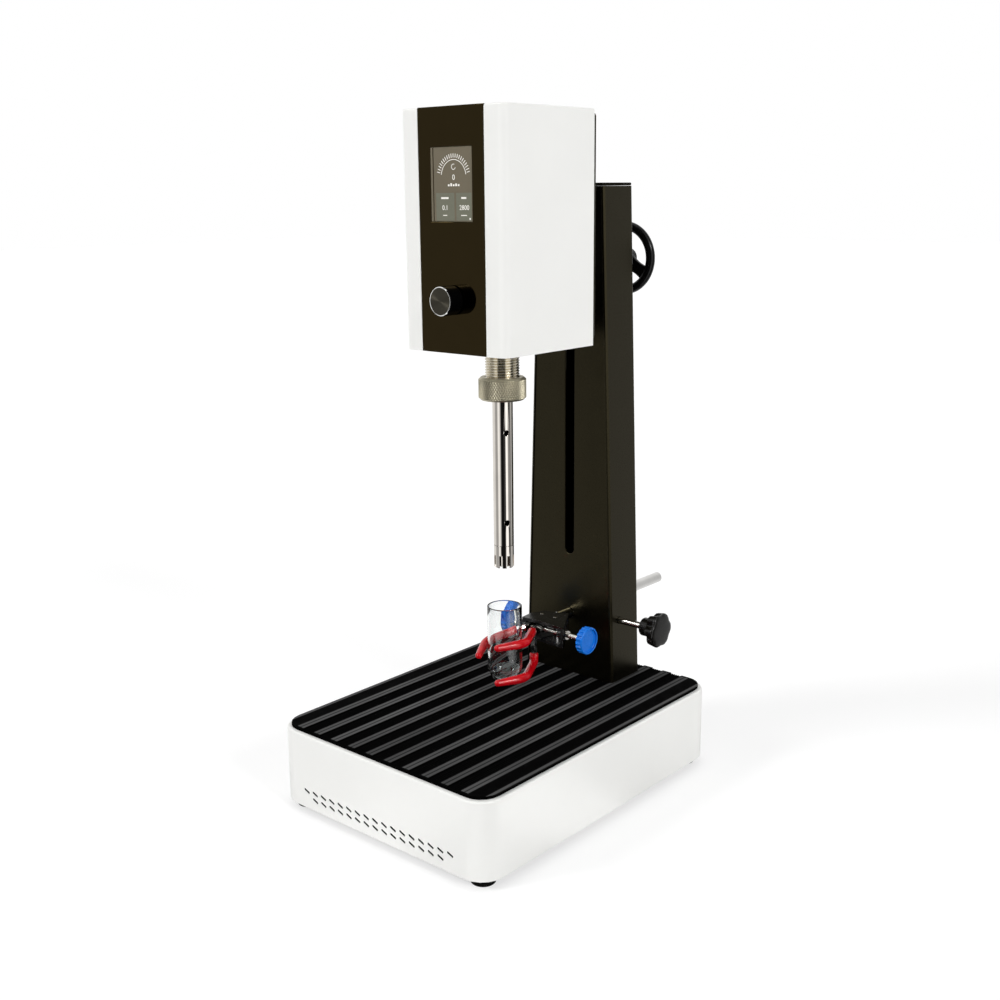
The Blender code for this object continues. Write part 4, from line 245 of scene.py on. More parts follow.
def base_paint(name):
    """White paint, with painted shade: the insides of the vent slots are painted near black for the shade
    that falls in them.
    """
    low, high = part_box("base_housing")
    look = white_paint(name)
    paint = look.shader.inputs["Base Color"].links[0].from_socket
    skin, deep, top, side = 0.45 * MM, 8 * MM, 26 * MM, 20 * MM
    # Painted shade: a mask over the slot walls and the hidden inside behind the front, painted near black
    # where shade falls.
    painted_slot_shade = look.inside("Y", low.y + skin, low.y + deep, 0.1 * MM)
    painted_slot_shade = look.math("MULTIPLY", painted_slot_shade, look.inside("Z", low.z + 3 * MM, low.z + top))
    painted_slot_shade = look.math("MULTIPLY", painted_slot_shade, look.inside("X", low.x + side, high.x - side))
    look.set("Base Color", look.blend(painted_slot_shade, paint, (0.0005, 0.0005, 0.0005)))
    return look.material


def vinyl(name, colour):
    """Dipped soft vinyl: wet gloss and slight waves from the dip."""
    look = Shades(name, Coat_Weight=0.3, Coat_Roughness=0.04, Specular_IOR_Level=0.2)
    look.set("Base Color", look.cloudy(colour, 0.3, 140))
    look.set("Roughness", look.ranged(look.noise(200, detail=3), 0.14, 0.26))
    look.bump(look.noise(180, detail=2), 0.16 * MM, 0.6)
    return look.material


def clear_glass(name):
    look = Shades(name, Base_Color=(0.95, 0.97, 0.965, 1), Transmission_Weight=1, IOR=1.47, Roughness=0)
    look.bump(look.noise(45, detail=1), 0.02 * MM, 0.4)
    return look.material


def lit(name, colour, strength):
    """A lit part of the display: it glows, under the same dark glass as the rest."""
    look = Shades(name, Roughness=0.3, Specular_IOR_Level=0.1, Emission_Strength=strength)
    tone = look.cloudy(colour, 0.08, 700)
    look.set("Emission Color", tone)
    look.set("Base Color", look.blend(0.7, tone, (0, 0, 0)))
    return look.material


WHITE = white_paint("white_paint").material
BASE_WHITE = base_paint("white_base_paint")
BLACK = metal("black_paint", (0.036, 0.031, 0.0175), 0.3, grain=1500, depth=0.02 * MM, mottle=0.05)
PANEL_TONE = (0.044, 0.0315, 0.0125)
PANEL = metal("panel_gloss", PANEL_TONE, 0.07, grain=900, depth=0.001 * MM, spread=0.02, mottle=0.05)
CAP_BLACK = painted("cap_black", (0.012, 0.0108, 0.008), 0.6, 0.01).material
PLASTIC = painted("black_plastic", (0.0022, 0.0022, 0.0022), 0.22, 0.2, 0.02 * MM).material
KNOB_BLACK = painted("knob_black", (0.0008, 0.0008, 0.0009), 0.3, 0.06, 0.01 * MM).material
STAR_BLACK = painted("star_plastic", (0.0045, 0.004, 0.0032), 0.24, 0.28, 0.03 * MM).material
MOULDED = painted("moulded_black", (0.009, 0.009, 0.009), 0.42, 0.2, 0.03 * MM, 2400).material
CASTING = painted("casting_black", (0.008, 0.008, 0.008), 0.2, 0.4, 0.06 * MM, 700).material
BLUE = painted("blue_plastic", (0.003, 0.165, 0.68), 0.26, 0.22, 0.03 * MM, 1800).material
BOARD = painted("circuit_board", (0.02, 0.12, 0.05), 0.35).material
SCREEN = painted("display_glass", (0.17, 0.147, 0.104), 0.16, 0.15, 0.001 * MM, spread=0.02).material
RUBBER = rubber("foot_rubber", (0.006, 0.006, 0.006), 0.55)
MAT = mat_rubber("mat_rubber")
STEEL = metal("polished_steel", (0.68, 0.64, 0.59), 0.04, (1, 1, 0.04), depth=0.0006 * MM, spread=0.015)
STEEL_ACROSS = metal("polished_rod", (0.78, 0.77, 0.75), 0.07, (1, 0.04, 1), depth=0.001 * MM, spread=0.02)
STEEL_SIDE = metal("polished_screw", (0.68, 0.66, 0.62), 0.14, stretch=(0.04, 1, 1))
THREAD = metal("thread_steel", (0.66, 0.61, 0.5), 0.09, (1, 1, 6), depth=0.001 * MM, spread=0.02)
KNURL = metal("knurled_steel", (0.57, 0.525, 0.39), 0.42, grain=3200, depth=0.01 * MM, mottle=0.35)
DULL = metal("dull_steel", (0.5, 0.49, 0.47), 0.42)
ALUMINIUM = metal("milled_aluminium", (0.62, 0.62, 0.63), 0.36, stretch=(0.05, 1, 1))
DARK_SPUN = spun_metal("spun_face", (0.06, 0.055, 0.042), centre_of("knob_face"))
RIM = metal("bright_rim", (0.9, 0.9, 0.88), 0.1)
VINYL = vinyl("red_vinyl", (0.62, 0.0018, 0.008))
GLASS = clear_glass("clear_glass")
DISPLAY_LIGHT = lit("display_figures", (0.8, 0.78, 0.73), 0.9)
DISPLAY_BOX = lit("display_boxes", (0.17, 0.172, 0.13), 0.72)

# Finish of the nodes that keep their own shape, by material slot
SLOT_FINISH = {
    "black_paint": BLACK,
    "black_plastic": MOULDED,
    "bright_steel": STEEL,
    "dull_steel": DULL,
    "aluminium": ALUMINIUM,
    "board": BOARD,
}


# Pieces


def welded(shape):
    """Joins points that lie on each other and turns the faces outward."""
    bmesh.ops.remove_doubles(shape, verts=shape.verts, dist=MERGE_DISTANCE)
    bmesh.ops.recalc_face_normals(shape, faces=shape.faces)
    return shape


def new_object(name, data):
    made = bpy.data.objects.new(name, data)
    bpy.context.scene.collection.objects.link(made)
    return made


def mesh_of(name, shape):
    """A bmesh as a mesh. The bmesh goes."""
    mesh = bpy.data.meshes.new(name)
    shape.to_mesh(mesh)
    shape.free()
    return mesh


def shaded(name, shape, smooth):
    """A bmesh as a mesh, smooth up to an angle."""
    mesh = mesh_of(name, shape)
    mesh.shade_smooth()
    mesh.set_sharp_from_angle(angle=smooth)
    return mesh


def set_up(name, mesh, body):
    """A piece from a mesh that has its finish. It rides on a body."""
    piece = new_object(name, mesh)
    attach(piece, body)
    return piece


def show(name, shape, finish, body, slot, smooth=SMOOTH_ANGLE):
    """A finished piece from a bmesh in the model's frame."""
    mesh = shaded(name, shape, smooth)
    mesh.materials.append(finish)
    return set_up(name, mesh, body)


def stand_for(piece, *nodes):
    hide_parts(*nodes)
    return piece


def evaluated(maker):
    """The mesh of an object with its modifiers. The maker goes."""
    bpy.context.view_layer.update()
    graph = bpy.context.evaluated_depsgraph_get()
    final = maker.evaluated_get(graph)
    mesh = bpy.data.meshes.new_from_object(final, preserve_all_data_layers=True, depsgraph=graph)
    bpy.data.objects.remove(maker, do_unlink=True)
    return mesh


def plain_shape(maker):
    shape = bmesh.new()
    shape.from_mesh(evaluated(maker))
    return shape


def softened(node, finish, width, segments=2, smooth=SMOOTH_ANGLE, edge_finish=None):
    """A node's own shape with its sharp edges eased, standing for the node.

    The eased edges take the finish too, or their own one.
    """
    shape = bmesh.new()
    shape.from_mesh(frame["nodes"][node].data)
    bmesh.ops.remove_doubles(shape, verts=shape.verts, dist=MERGE_DISTANCE)
    bmesh.ops.dissolve_limit(shape, angle_limit=FLAT_ANGLE, verts=shape.verts, edges=shape.edges)
    maker = new_object(f"{node}_copy", shaded(f"{node}_copy", shape, smooth))
    maker.data.materials.append(finish)
    ease = maker.modifiers.new("ease", "BEVEL")
    ease.width = width
    ease.segments = segments
    ease.limit_method = "ANGLE"
    ease.angle_limit = EDGE_ANGLE
    if edge_finish:
        maker.data.materials.append(edge_finish)
        ease.material = 1
    weigh = maker.modifiers.new("weigh", "WEIGHTED_NORMAL")
    weigh.keep_sharp = True
    weigh.weight = 100
    return stand_for(set_up(f"{node}_skin", evaluated(maker), body_of(node)), node)


def lathe(profile, sides, closed=True):
    """A turned shape along Z: rings of (radius, place) or (radius, place, give).

    give, from 0 to 1, says how far the ridges of a node tree may cut into a ring.
    """
    shape = bmesh.new()
    give = shape.verts.layers.float.new("give")
    rows = []
    for radius, place, *rest in profile:
        row = []
        for step in range(sides if radius > 0 else 1):
            angle = TAU * step / sides
            vert = shape.verts.new((radius * math.cos(angle), radius * math.sin(angle), place))
            vert[give] = rest[0] if rest else 0
            row.append(vert)
        rows.append(row)
    for upper, lower in list(zip(rows, rows[1:])) + ([(rows[-1], rows[0])] if closed else []):
        for step in range(sides):
            following = (step + 1) % sides
            corners = [upper[step % len(upper)], upper[following % len(upper)]]
            corners += [lower[following % len(lower)], lower[step % len(lower)]]
            corners = list(dict.fromkeys(corners))
            if len(corners) > 2:
                shape.faces.new(corners)
    bmesh.ops.recalc_face_normals(shape, faces=shape.faces)
    return shape


def standing(centre, axis):
    """Puts a shape turned along Z on its axis at a centre."""
    turn = {"X": Matrix.Rotation(math.pi / 2, 4, "Y"), "Y": Matrix.Rotation(-math.pi / 2, 4, "X")}
    return Matrix.Translation(centre) @ turn.get(axis, Matrix.Identity(4))


def facing_way(way):
    """Turns what looks along Z to look another way."""
    return Vector(way).to_track_quat("Z", "Y").to_matrix().to_4x4()


def turned(profile, centre, axis, sides, closed=True):
    shape = lathe(profile, sides, closed)
    shape.transform(standing(centre, axis))
    return shape


def dress_rod(node, axis, finish, ease=0.3 * MM):
    """A plain round rod with eased ends, standing for a node."""
    low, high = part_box(node)
    along = "XYZ".index(axis)
    half, radius = (high[along] - low[along]) / 2, (high[along - 1] - low[along - 1]) / 2
    side = [(0, half), (radius - ease, half), (radius, half - ease)]
    profile = side + [(r, -place) for r, place in reversed(side)]
    shape = turned(profile, (low + high) / 2, axis, 64, closed=False)
    stand_for(show(f"{node}_turned", shape, finish, body_of(node), slot_of(node)), node)


def arc_points(centre, radius, start, end, steps):
    """Points of an arc in (radius, place) terms, from one angle to another in degrees."""
    points = []
    for step in range(steps + 1):
        angle = math.radians(start + (end - start) * step / steps)
        points.append((centre[0] + radius * math.cos(angle), centre[1] + radius * math.sin(angle)))
    return points


def levels(low, high, count):
    return [low + (high - low) * step / count for step in range(count + 1)]


def tube_along(points, radii, sides):
    """A round tube through points, each with its own radius, closed at both ends."""
    data = bpy.data.curves.new("tube", "CURVE")
    data.dimensions = "3D"
    data.bevel_depth = 1
    data.bevel_resolution = sides // 4
    data.use_fill_caps = True
    spline = data.splines.new("POLY")
    spline.points.add(len(points) - 1)
    for point, place, radius in zip(spline.points, points, radii):
        point.co = (*place, 1)
        point.radius = radius
    return welded(plain_shape(new_object("tube", data)))


# Geometry Nodes


class Nodes(Tree):
    """A geometry node tree with named inputs, one of them the finish."""

    def __init__(self, name, **inputs):
        super().__init__(bpy.data.node_groups.new(name, "GeometryNodeTree"))
        for way in ("INPUT", "OUTPUT"):
            self.tree.interface.new_socket("Geometry", in_out=way, socket_type="NodeSocketGeometry")
        kinds = {float: "NodeSocketFloat", int: "NodeSocketInt"}
        kinds[bpy.types.Material] = "NodeSocketMaterial"
        kinds[bpy.types.Object] = "NodeSocketObject"
        self.identifiers = {}
        for key, value in {"Finish": bpy.types.Material, **inputs}.items():
            kind = value if isinstance(value, type) else type(value)
            socket = self.tree.interface.new_socket(key, in_out="INPUT", socket_type=kinds[kind])
            if kind in (float, int):
                socket.default_value = value
            self.identifiers[key] = socket.identifier
        self.entry = self.tree.nodes.new("NodeGroupInput")
        self.exit = self.tree.nodes.new("NodeGroupOutput")

    def given(self, key):
        return self.entry.outputs[key]

    def position(self):
        """The X, Y and Z of each point."""
        return self.axes(self.node("GeometryNodeInputPosition").outputs[0])

    def end(self, geometry):
        """Realizes the instances, sets the given finish and closes the tree."""
        real = self.node("GeometryNodeRealizeInstances", {"Geometry": geometry})
        links = {"Geometry": real.outputs[0], "Material": self.given("Finish")}
        dressed = self.node("GeometryNodeSetMaterial", links)
        self.tree.links.new(dressed.outputs[0], self.exit.inputs[0])
        return self


def grown(name, tree, finish, body, slot, place, blank=None, smooth=SMOOTH_ANGLE, **sizes):
    """A piece grown by a node tree with these sizes, made plain and put in place."""
    maker = new_object(name, blank or bpy.data.meshes.new(name))
    modifier = maker.modifiers.new(name, "NODES")
    modifier.node_group = tree.tree
    for key, value in {"Finish": finish, **sizes}.items():
        modifier[tree.identifiers[key]] = value
    shape = plain_shape(maker)
    shape.transform(place)
    return show(name, shape, finish, body, slot, smooth)


def gauge_tree():
    """Ticks fanned along an arc in the XZ plane, as on a dial."""
    nodes = Nodes("gauge_ticks", Radius=0.01, Length=0.002, Width=0.0002, Ticks=30, Sweep=3.0)
    rest = nodes.math("SUBTRACT", math.pi, nodes.given("Sweep"))
    links = {"Resolution": nodes.given("Ticks"), "Radius": nodes.given("Radius")}
    links.update({"Start Angle": nodes.math("DIVIDE", rest, 2.0), "Sweep Angle": nodes.given("Sweep")})
    arc = nodes.node("GeometryNodeCurveArc", links, mode="RADIUS")
    points = nodes.node("GeometryNodeCurveToPoints", {"Curve": arc.outputs[0]}, mode="EVALUATED")
    width = nodes.given("Width")
    size = nodes.node("ShaderNodeCombineXYZ", {"X": nodes.given("Length"), "Y": width, "Z": width})
    tick = nodes.node("GeometryNodeMeshCube", {"Size": size.outputs[0]})
    x, y, _ = nodes.position()
    turn = nodes.node("ShaderNodeCombineXYZ", {"Z": nodes.math("ARCTAN2", y, x)}).outputs[0]
    links = {"Points": points.outputs["Points"], "Instance": tick.outputs["Mesh"], "Rotation": turn}
    return nodes.end(nodes.node("GeometryNodeInstanceOnPoints", links).outputs[0])


def ridge_tree():
    """Ridges round a blank turned along Z: between them its surface drops, as far as its give allows.

    Count ridges go round it. They climb with Lead, in turns a metre, and Crossed adds as many that lean
    the other way. Foot and Crest are where a flank starts and ends, as shares of the way to a ridge.
    """
    nodes = Nodes("ridges", Count=12, Lead=0.0, Depth=0.0005, Foot=0.0, Crest=0.5, Crossed=0.0)
    x, y, z = nodes.position()
    turns = nodes.math("DIVIDE", nodes.math("ARCTAN2", y, x), TAU)
    turns = nodes.math("MULTIPLY", turns, nodes.given("Count"))
    climb = nodes.math("MULTIPLY", z, nodes.given("Lead"))
    waves = [nodes.math("PINGPONG", nodes.math(way, turns, climb), 0.5) for way in ("ADD", "SUBTRACT")]
    first, second = (nodes.math("MULTIPLY", wave, 2.0) for wave in waves)
    lower = nodes.math("SUBTRACT", nodes.math("MINIMUM", first, second), first)
    ridge = nodes.math("ADD", first, nodes.math("MULTIPLY", lower, nodes.given("Crossed")))
    links = {"Value": ridge, "From Min": nodes.given("Foot"), "From Max": nodes.given("Crest")}
    links.update({"To Min": 1.0, "To Max": 0.0})
    flank = nodes.node("ShaderNodeMapRange", links, interpolation_type="SMOOTHSTEP").outputs[0]
    give = nodes.node("GeometryNodeInputNamedAttribute", {"Name": "give"}, data_type="FLOAT").outputs[0]
    drop = nodes.math("MULTIPLY", nodes.math("MULTIPLY", flank, give), nodes.given("Depth"))
    flat = nodes.node("ShaderNodeCombineXYZ", {"X": x, "Y": y}).outputs[0]
    out = nodes.node("ShaderNodeVectorMath", {0: flat}, operation="NORMALIZE").outputs[0]
    links = {0: out, "Scale": nodes.math("MULTIPLY", drop, -1.0)}
    shift = nodes.node("ShaderNodeVectorMath", links, operation="SCALE").outputs[0]
    links = {"Geometry": nodes.entry.outputs[0], "Offset": shift}
    return nodes.end(nodes.node("GeometryNodeSetPosition", links).outputs[0])


def spread_tree():
    """The same piece on every vertex of the mesh that it grows on, each turned a little further."""
    nodes = Nodes("spread_pieces", Piece=bpy.types.Object, Turn=0.4)
    info = nodes.node("GeometryNodeObjectInfo", {"Object": nodes.given("Piece")}, transform_space="ORIGINAL")
    spots = nodes.node("GeometryNodeMeshToPoints", {"Mesh": nodes.entry.outputs[0]})
    spin = nodes.math("MULTIPLY", nodes.node("GeometryNodeInputIndex").outputs[0], nodes.given("Turn"))
    turn = nodes.node("ShaderNodeCombineXYZ", {"Z": spin})
    links = {"Points": spots.outputs[0], "Instance": info.outputs["Geometry"], "Rotation": turn.outputs[0]}
    return nodes.end(nodes.node("GeometryNodeInstanceOnPoints", links).outputs[0])


GAUGE = gauge_tree()
RIDGES = ridge_tree()
SPREAD = spread_tree()


def ridged(name, profile, centre, axis, sides, finish, body, slot, smooth, closed=True, **sizes):
    """A turned piece with ridges cut by the ridge tree."""
    blank = mesh_of(f"{name}_blank", lathe(profile, sides, closed))
    return grown(name, RIDGES, finish, body, slot, standing(centre, axis), blank, smooth, **sizes)


SCREW_INSET = 8 * MM
SCREW_TURN = 0.4
BLACK_SCREW = (2.6 * MM, 1.5 * MM)
STEEL_SCREW = (2.2 * MM, 1.3 * MM)


def screws(name, spots, facing, size, finish, body, slot):
    """Socket button heads of a size (radius, height), at spots of a face that looks the given way."""
    radius, height = size
    socket, depth = radius * 0.5, height * 0.35
    profile = [(0, 0)] + arc_points((radius - height, 0), height, 0, 90, 5)
    profile += [(socket, height), (socket * 0.94, depth), (0, depth)]
    head = new_object(f"{name}_head", mesh_of(f"{name}_head", lathe(profile, 24, closed=False)))
    lie = facing_way(facing)
    blank = bpy.data.meshes.new(name)
    blank.from_pydata([lie.inverted() @ Vector(spot) for spot in spots], [], [])
    grown(name, SPREAD, finish, body, slot, lie, blank, Piece=head, Turn=SCREW_TURN)
    bpy.data.objects.remove(head, do_unlink=True)


def corner_pairs(node, first, second):
    """Places along two axes, given by number, for screws at the corners of a node."""
    low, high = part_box(node)
    ends = [(low[axis] + SCREW_INSET, high[axis] - SCREW_INSET) for axis in (first, second)]
    return [(one, other) for one in ends[0] for other in ends[1]]


# The base


def dress_base():
    softened("base_housing", BASE_WHITE, 0.25 * MM, smooth=SHELL_ANGLE)
    softened("ribbed_mat", MAT, 0.12 * MM, segments=1)
    for end in ("front", "rear"):
        for side in ("left", "right"):
            dress_foot(f"foot_{end}_{side}")
    for node in ("power_inlet", "switch_bezel"):
        softened(node, MOULDED, 0.4 * MM)
    softened("rocker_switch", PLASTIC, 0.5 * MM)


def dress_foot(node):
    """Turned rubber foot with an eased tread and a groove under its head."""
    low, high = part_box(node)
    ease, groove = 1.6 * MM, 0.5 * MM
    radius, rise = (high.x - low.x) / 2, high.z - low.z
    tread = arc_points((radius - ease, ease), ease, -90, 0, 5)
    profile = [(0, 0), (radius * 0.35, 0), (radius * 0.4, ease / 3), (radius * 0.6, ease / 3)]
    profile += [(radius * 0.65, 0)] + tread
    neck = rise * 0.62
    profile += [(radius, neck), (radius - groove, neck + groove), (radius - groove, rise), (0, rise)]
    middle = (low + high) / 2
    shape = turned(profile, Vector((middle.x, middle.y, low.z)), "Z", 48, closed=False)
    stand_for(show(f"{node}_rubber", shape, RUBBER, "stand", "black_rubber"), node)


# The column and lift


def dress_column():
    softened("column_shell", BLACK, 0.2 * MM)
    for node in ("column_front_plate", "column_foot"):
        softened(node, BLACK, 0.45 * MM)
    softened("column_cap", CAP_BLACK, 0.9 * MM)
    for node in ("carriage", "rod_clamp_block"):
        softened(node, ALUMINIUM, 0.4 * MM)
    dress_handwheel()
    low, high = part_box("column_shell")
    reach = (high.x - low.x) / 2 - 3 * SCREW_INSET
    spots = [(x, high.y, low.z + SCREW_INSET) for x in (-reach, reach)]
    spots += [(x, high.y, z) for x, z in corner_pairs("rod_clamp_block", 0, 2)]
    screws("column_rear_screws", spots, (0, 1, 0), BLACK_SCREW, MOULDED, "stand", "black_paint")


def dress_handwheel():
    """Handwheel with a full round rim, a stepped hub and three dished spokes."""
    look = (PLASTIC, "handwheel", "black_plastic")
    low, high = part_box("handwheel")
    centre = (low + high) / 2
    rim_radius = 4.2 * MM
    ring_radius = (high.x - low.x) / 2 - rim_radius
    rim = turned(arc_points((ring_radius, 0), rim_radius, 0, 345, 23), centre, "Y", 96)
    stand_for(show("handwheel_rim", rim, *look), "handwheel")
    hub_half, hub_radius, ease = (high.y - low.y) / 2, 9 * MM, 2 * MM
    profile = [(0, hub_half - ease), (4.4 * MM, hub_half - ease), (5 * MM, hub_half)]
    profile += arc_points((hub_radius - ease, hub_half - ease), ease, 90, 0, 5)
    profile += [(hub_radius, -hub_half + ease), (hub_radius - ease, -hub_half), (0, -hub_half)]
    show("handwheel_hub", turned(profile, centre, "Y", 48, closed=False), *look)
    pattern = spoke(hub_radius * 0.6, ring_radius)
    lie = facing_way((0, 1, 0))
    centre_here = lie.inverted() @ centre
    for index in range(3):
        turn = Matrix.Rotation(TAU * index / 3 + math.pi / 2, 4, "Z")
        shape = pattern.copy()
        shape.transform(lie @ Matrix.Translation(centre_here) @ turn)
        show(f"handwheel_spoke_{index + 1}", shape, *look)
    pattern.free()


def spoke(root, tip):
    """A flat spoke along X that flares at both ends and thins towards its tip."""
    width, thickness = 11 * MM, 4.5 * MM
    shape = bmesh.new()
    bmesh.ops.create_cube(shape, size=1)
    lengthways = [e for e in shape.edges if abs(e.verts[0].co.x - e.verts[1].co.x) > 0.5]
    bmesh.ops.subdivide_edges(shape, edges=lengthways, cuts=12)
    for vert in shape.verts:
        share = vert.co.x + 0.5
        flare = 1 + 0.45 * (2 * share - 1) ** 2
        vert.co.y *= width * flare
        vert.co.z *= thickness * (1.35 - 0.5 * share)
        vert.co.x = root + share * (tip - root)
    corners = [e for e in shape.edges if e.calc_face_angle(0) > 1.0]
    bmesh.ops.bevel(shape, geom=corners, offset=1.5 * MM, segments=3, profile=0.5, affect="EDGES")
    return shape


# The head


def dress_head():
    softened("head_shell", WHITE, 0.3 * MM, smooth=SHELL_ANGLE)
    softened("front_panel", PANEL, 0.3 * MM)
    softened("head_back_plate", BLACK, 0.8 * MM)
    softened("head_bottom_plate", WHITE, 0.4 * MM)
    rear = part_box("head_back_plate")[1].y
    spots = [(x, rear, z) for x, z in corner_pairs("head_back_plate", 0, 2)]
    screws("back_plate_screws", spots, (0, 1, 0), BLACK_SCREW, MOULDED, "head", "black_paint")
    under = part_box("head_bottom_plate")[0].z
    spots = [(x, y, under) for x, y in corner_pairs("head_bottom_plate", 0, 1)]
    screws("bottom_plate_screws", spots, (0, 0, -1), STEEL_SCREW, STEEL, "head", "bright_steel")


INK_LIFT = 0.05 * MM
INK_DEPTH = 0.06 * MM
INK = (DISPLAY_LIGHT, "head", "screen")
UPRIGHT = Matrix.Rotation(math.pi / 2, 4, "X")


def figures(name, text, centre_x, middle_z, height, face_y):
    """Plain figures on the display, as thin lit shapes that face -Y."""
    data = bpy.data.curves.new(name, "FONT")
    data.body = text
    data.size = height
    data.align_x = "CENTER"
    data.extrude = INK_DEPTH
    data.resolution_u = 3
    shape = plain_shape(new_object(name, data))
    bmesh.ops.remove_doubles(shape, verts=shape.verts, dist=MERGE_DISTANCE / 4)
    foot_z = middle_z - 0.35 * height
    shape.transform(Matrix.Translation((centre_x, face_y, foot_z)) @ UPRIGHT)
    return show(name, shape, *INK)


def flat_block(low, high):
    shape = bmesh.new()
    bmesh.ops.create_cube(shape, size=1)
    low, high = Vector(low), Vector(high)
    shape.transform(Matrix.Translation((low + high) / 2) @ Matrix.Diagonal((*(high - low), 1)))
    return shape


def joined(shapes):
    whole = bmesh.new()
    for shape in shapes:
        mesh = mesh_of("part", shape)
        whole.from_mesh(mesh)
        bpy.data.meshes.remove(mesh)
    return whole


def dress_display():
    """Dial with a fan of ticks and an inner ring, a reading, and two boxes with plain numbers."""
    low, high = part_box("display_module")
    width, tall = high.x - low.x, high.z - low.z
    softened("display_module", SCREEN, 0.2 * MM)
    face = low.y - INK_LIFT
    front = face - INK_LIFT

    def across(share):
        return low.x + share * width

    def up(share):
        return low.z + share * tall

    def bars(name, rows, depth_y, finish):
        """Flat bars, each (left, right, bottom, top) in shares of the display."""
        shapes = [
            flat_block((across(left), depth_y, up(bottom)), (across(right), depth_y + INK_DEPTH, up(top)))
            for left, right, bottom, top in rows
        ]
        show(name, joined(shapes), finish, "head", "screen")

    middle, dial_z = across(0.56), up(0.6)
    place = Matrix.Translation((middle, face, dial_z)) @ UPRIGHT
    sizes = {"Radius": 0.368 * width, "Length": 0.07 * width, "Width": 0.5 * MM}
    grown("dial_ticks", GAUGE, *INK, place, Ticks=21, Sweep=math.radians(154), **sizes)

    def ring(name, radius, centre_z, start, sweep, line):
        turns = [math.radians(start + sweep * step / 48) for step in range(49)]
        spots = [(radius * math.cos(turn), radius * math.sin(turn)) for turn in turns]
        points = [(middle + x, face + INK_DEPTH, centre_z + z) for x, z in spots]
        show(name, tube_along(points, [line] * len(points), 8), *INK)

    ring("dial_ring", 0.3 * width, dial_z, 8, 164, 0.28 * MM)
    ring("dial_icon", 2.1 * MM, up(0.735), 60, 290, 0.24 * MM)
    bars("side_line", [(0.055, 0.075, 0.0, 1.0)], face, PANEL)
    figures("reading", "0", middle, up(0.597), 6 * MM, face)
    rises = (0.026, 0.04, 0.026, 0.036, 0.026)
    marks = [(0.42 + 0.06 * k, 0.46 + 0.06 * k, 0.476, 0.476 + rise) for k, rise in enumerate(rises)]
    bars("reading_bars", marks, face, DISPLAY_LIGHT)
    boxes = [(0.125, 0.57, 0.012, 0.388), (0.615, 0.985, 0.012, 0.388)]
    bars("display_boxes", boxes, face, DISPLAY_BOX)
    bars("box_headers", [(0.25, 0.43, 0.305, 0.33), (0.74, 0.86, 0.305, 0.33)], front, DISPLAY_LIGHT)
    footers = [(0.29, 0.39, 0.078, 0.09), (0.73, 0.87, 0.078, 0.09), (0.93, 0.96, 0.025, 0.05)]
    bars("box_footers", footers, front, DISPLAY_LIGHT)
    figures("left_number", "0.1", across(0.345), up(0.19), 5.4 * MM, front)
    figures("right_number", "2800", across(0.81), up(0.19), 5.4 * MM, front)


def dress_knob():
    """Control knob: a black body, a thin bright turned rim and a spun dark face."""
    low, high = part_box("knob_body")
    centre = Vector(((low.x + high.x) / 2, 0, (low.z + high.z) / 2))
    radius, front, rear = (high.x - low.x) / 2, low.y, high.y
    ease, heel, sunk = 0.75 * MM, 0.6 * MM, 0.3 * MM
    face_radius = radius - ease
    profile = [(0, rear)] + arc_points((radius - heel, rear - heel), heel, 90, 0, 3)
    profile += [(radius, place) for place in levels(rear - 1.4 * MM, front + 2.2 * MM, 2)]
    profile += [(radius, front + ease), (face_radius, front + sunk), (0, front + sunk)]
    body = turned(profile, centre, "Y", 144, closed=False)
    stand_for(show("knob_grip", body, KNOB_BLACK, "knob", "black_gloss"), "knob_body")
    lip = 0.3 * MM
    inner, seat, disc_front = face_radius - lip, front + 2 * sunk, front + 0.16 * MM
    rim = [(radius - lip, front + ease - lip), (face_radius, front), (inner, front + 0.1 * MM)]
    rim += [(inner, seat), (radius - 1.4 * lip, seat)]
    show("knob_rim", turned(rim, centre, "Y", 144), RIM, "knob", "black_gloss")
    disc = [(0, disc_front), (inner, disc_front), (inner, seat), (0, seat)]
    piece = show("knob_disc", turned(disc, centre, "Y", 144, closed=False), DARK_SPUN, "knob", "aluminium")
    stand_for(piece, "knob_face")


# The drive line

THREAD_PITCH = 2.3 * MM
THREAD_DEPTH = 1.15 * MM
KNURL_PITCH = 2.3 * MM
KNURL_LEAN = 0.62


def probe_axis():
    middle = centre_of("probe_tube")
    return Vector((middle.x, middle.y, 0))


def dress_collar():
    """Collar with its external thread, which the nut runs on."""
    low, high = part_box("threaded_collar")
    radius, bore, flange, relief = 15 * MM, 9.2 * MM, 3 * MM, 2.5 * MM
    flange_low = high.z - flange
    flange_radius = (high.x - low.x) / 2
    run_out = flange_low - relief
    profile = [(bore, low.z), (radius - MM, low.z)]
    profile += [(radius, z, 1 if z < run_out else 0) for z in levels(low.z + MM, flange_low, 170)]
    profile += [(flange_radius, flange_low), (flange_radius, high.z), (bore, high.z)]
    sizes = {"Count": 1, "Lead": -1 / THREAD_PITCH, "Depth": THREAD_DEPTH, "Foot": 0.05, "Crest": 0.75}
    look = (THREAD, "head", "bright_steel")
    piece = ridged("collar_thread", profile, probe_axis(), "Z", 96, *look, smooth=ROUND_ANGLE, **sizes)
    stand_for(piece, "threaded_collar")


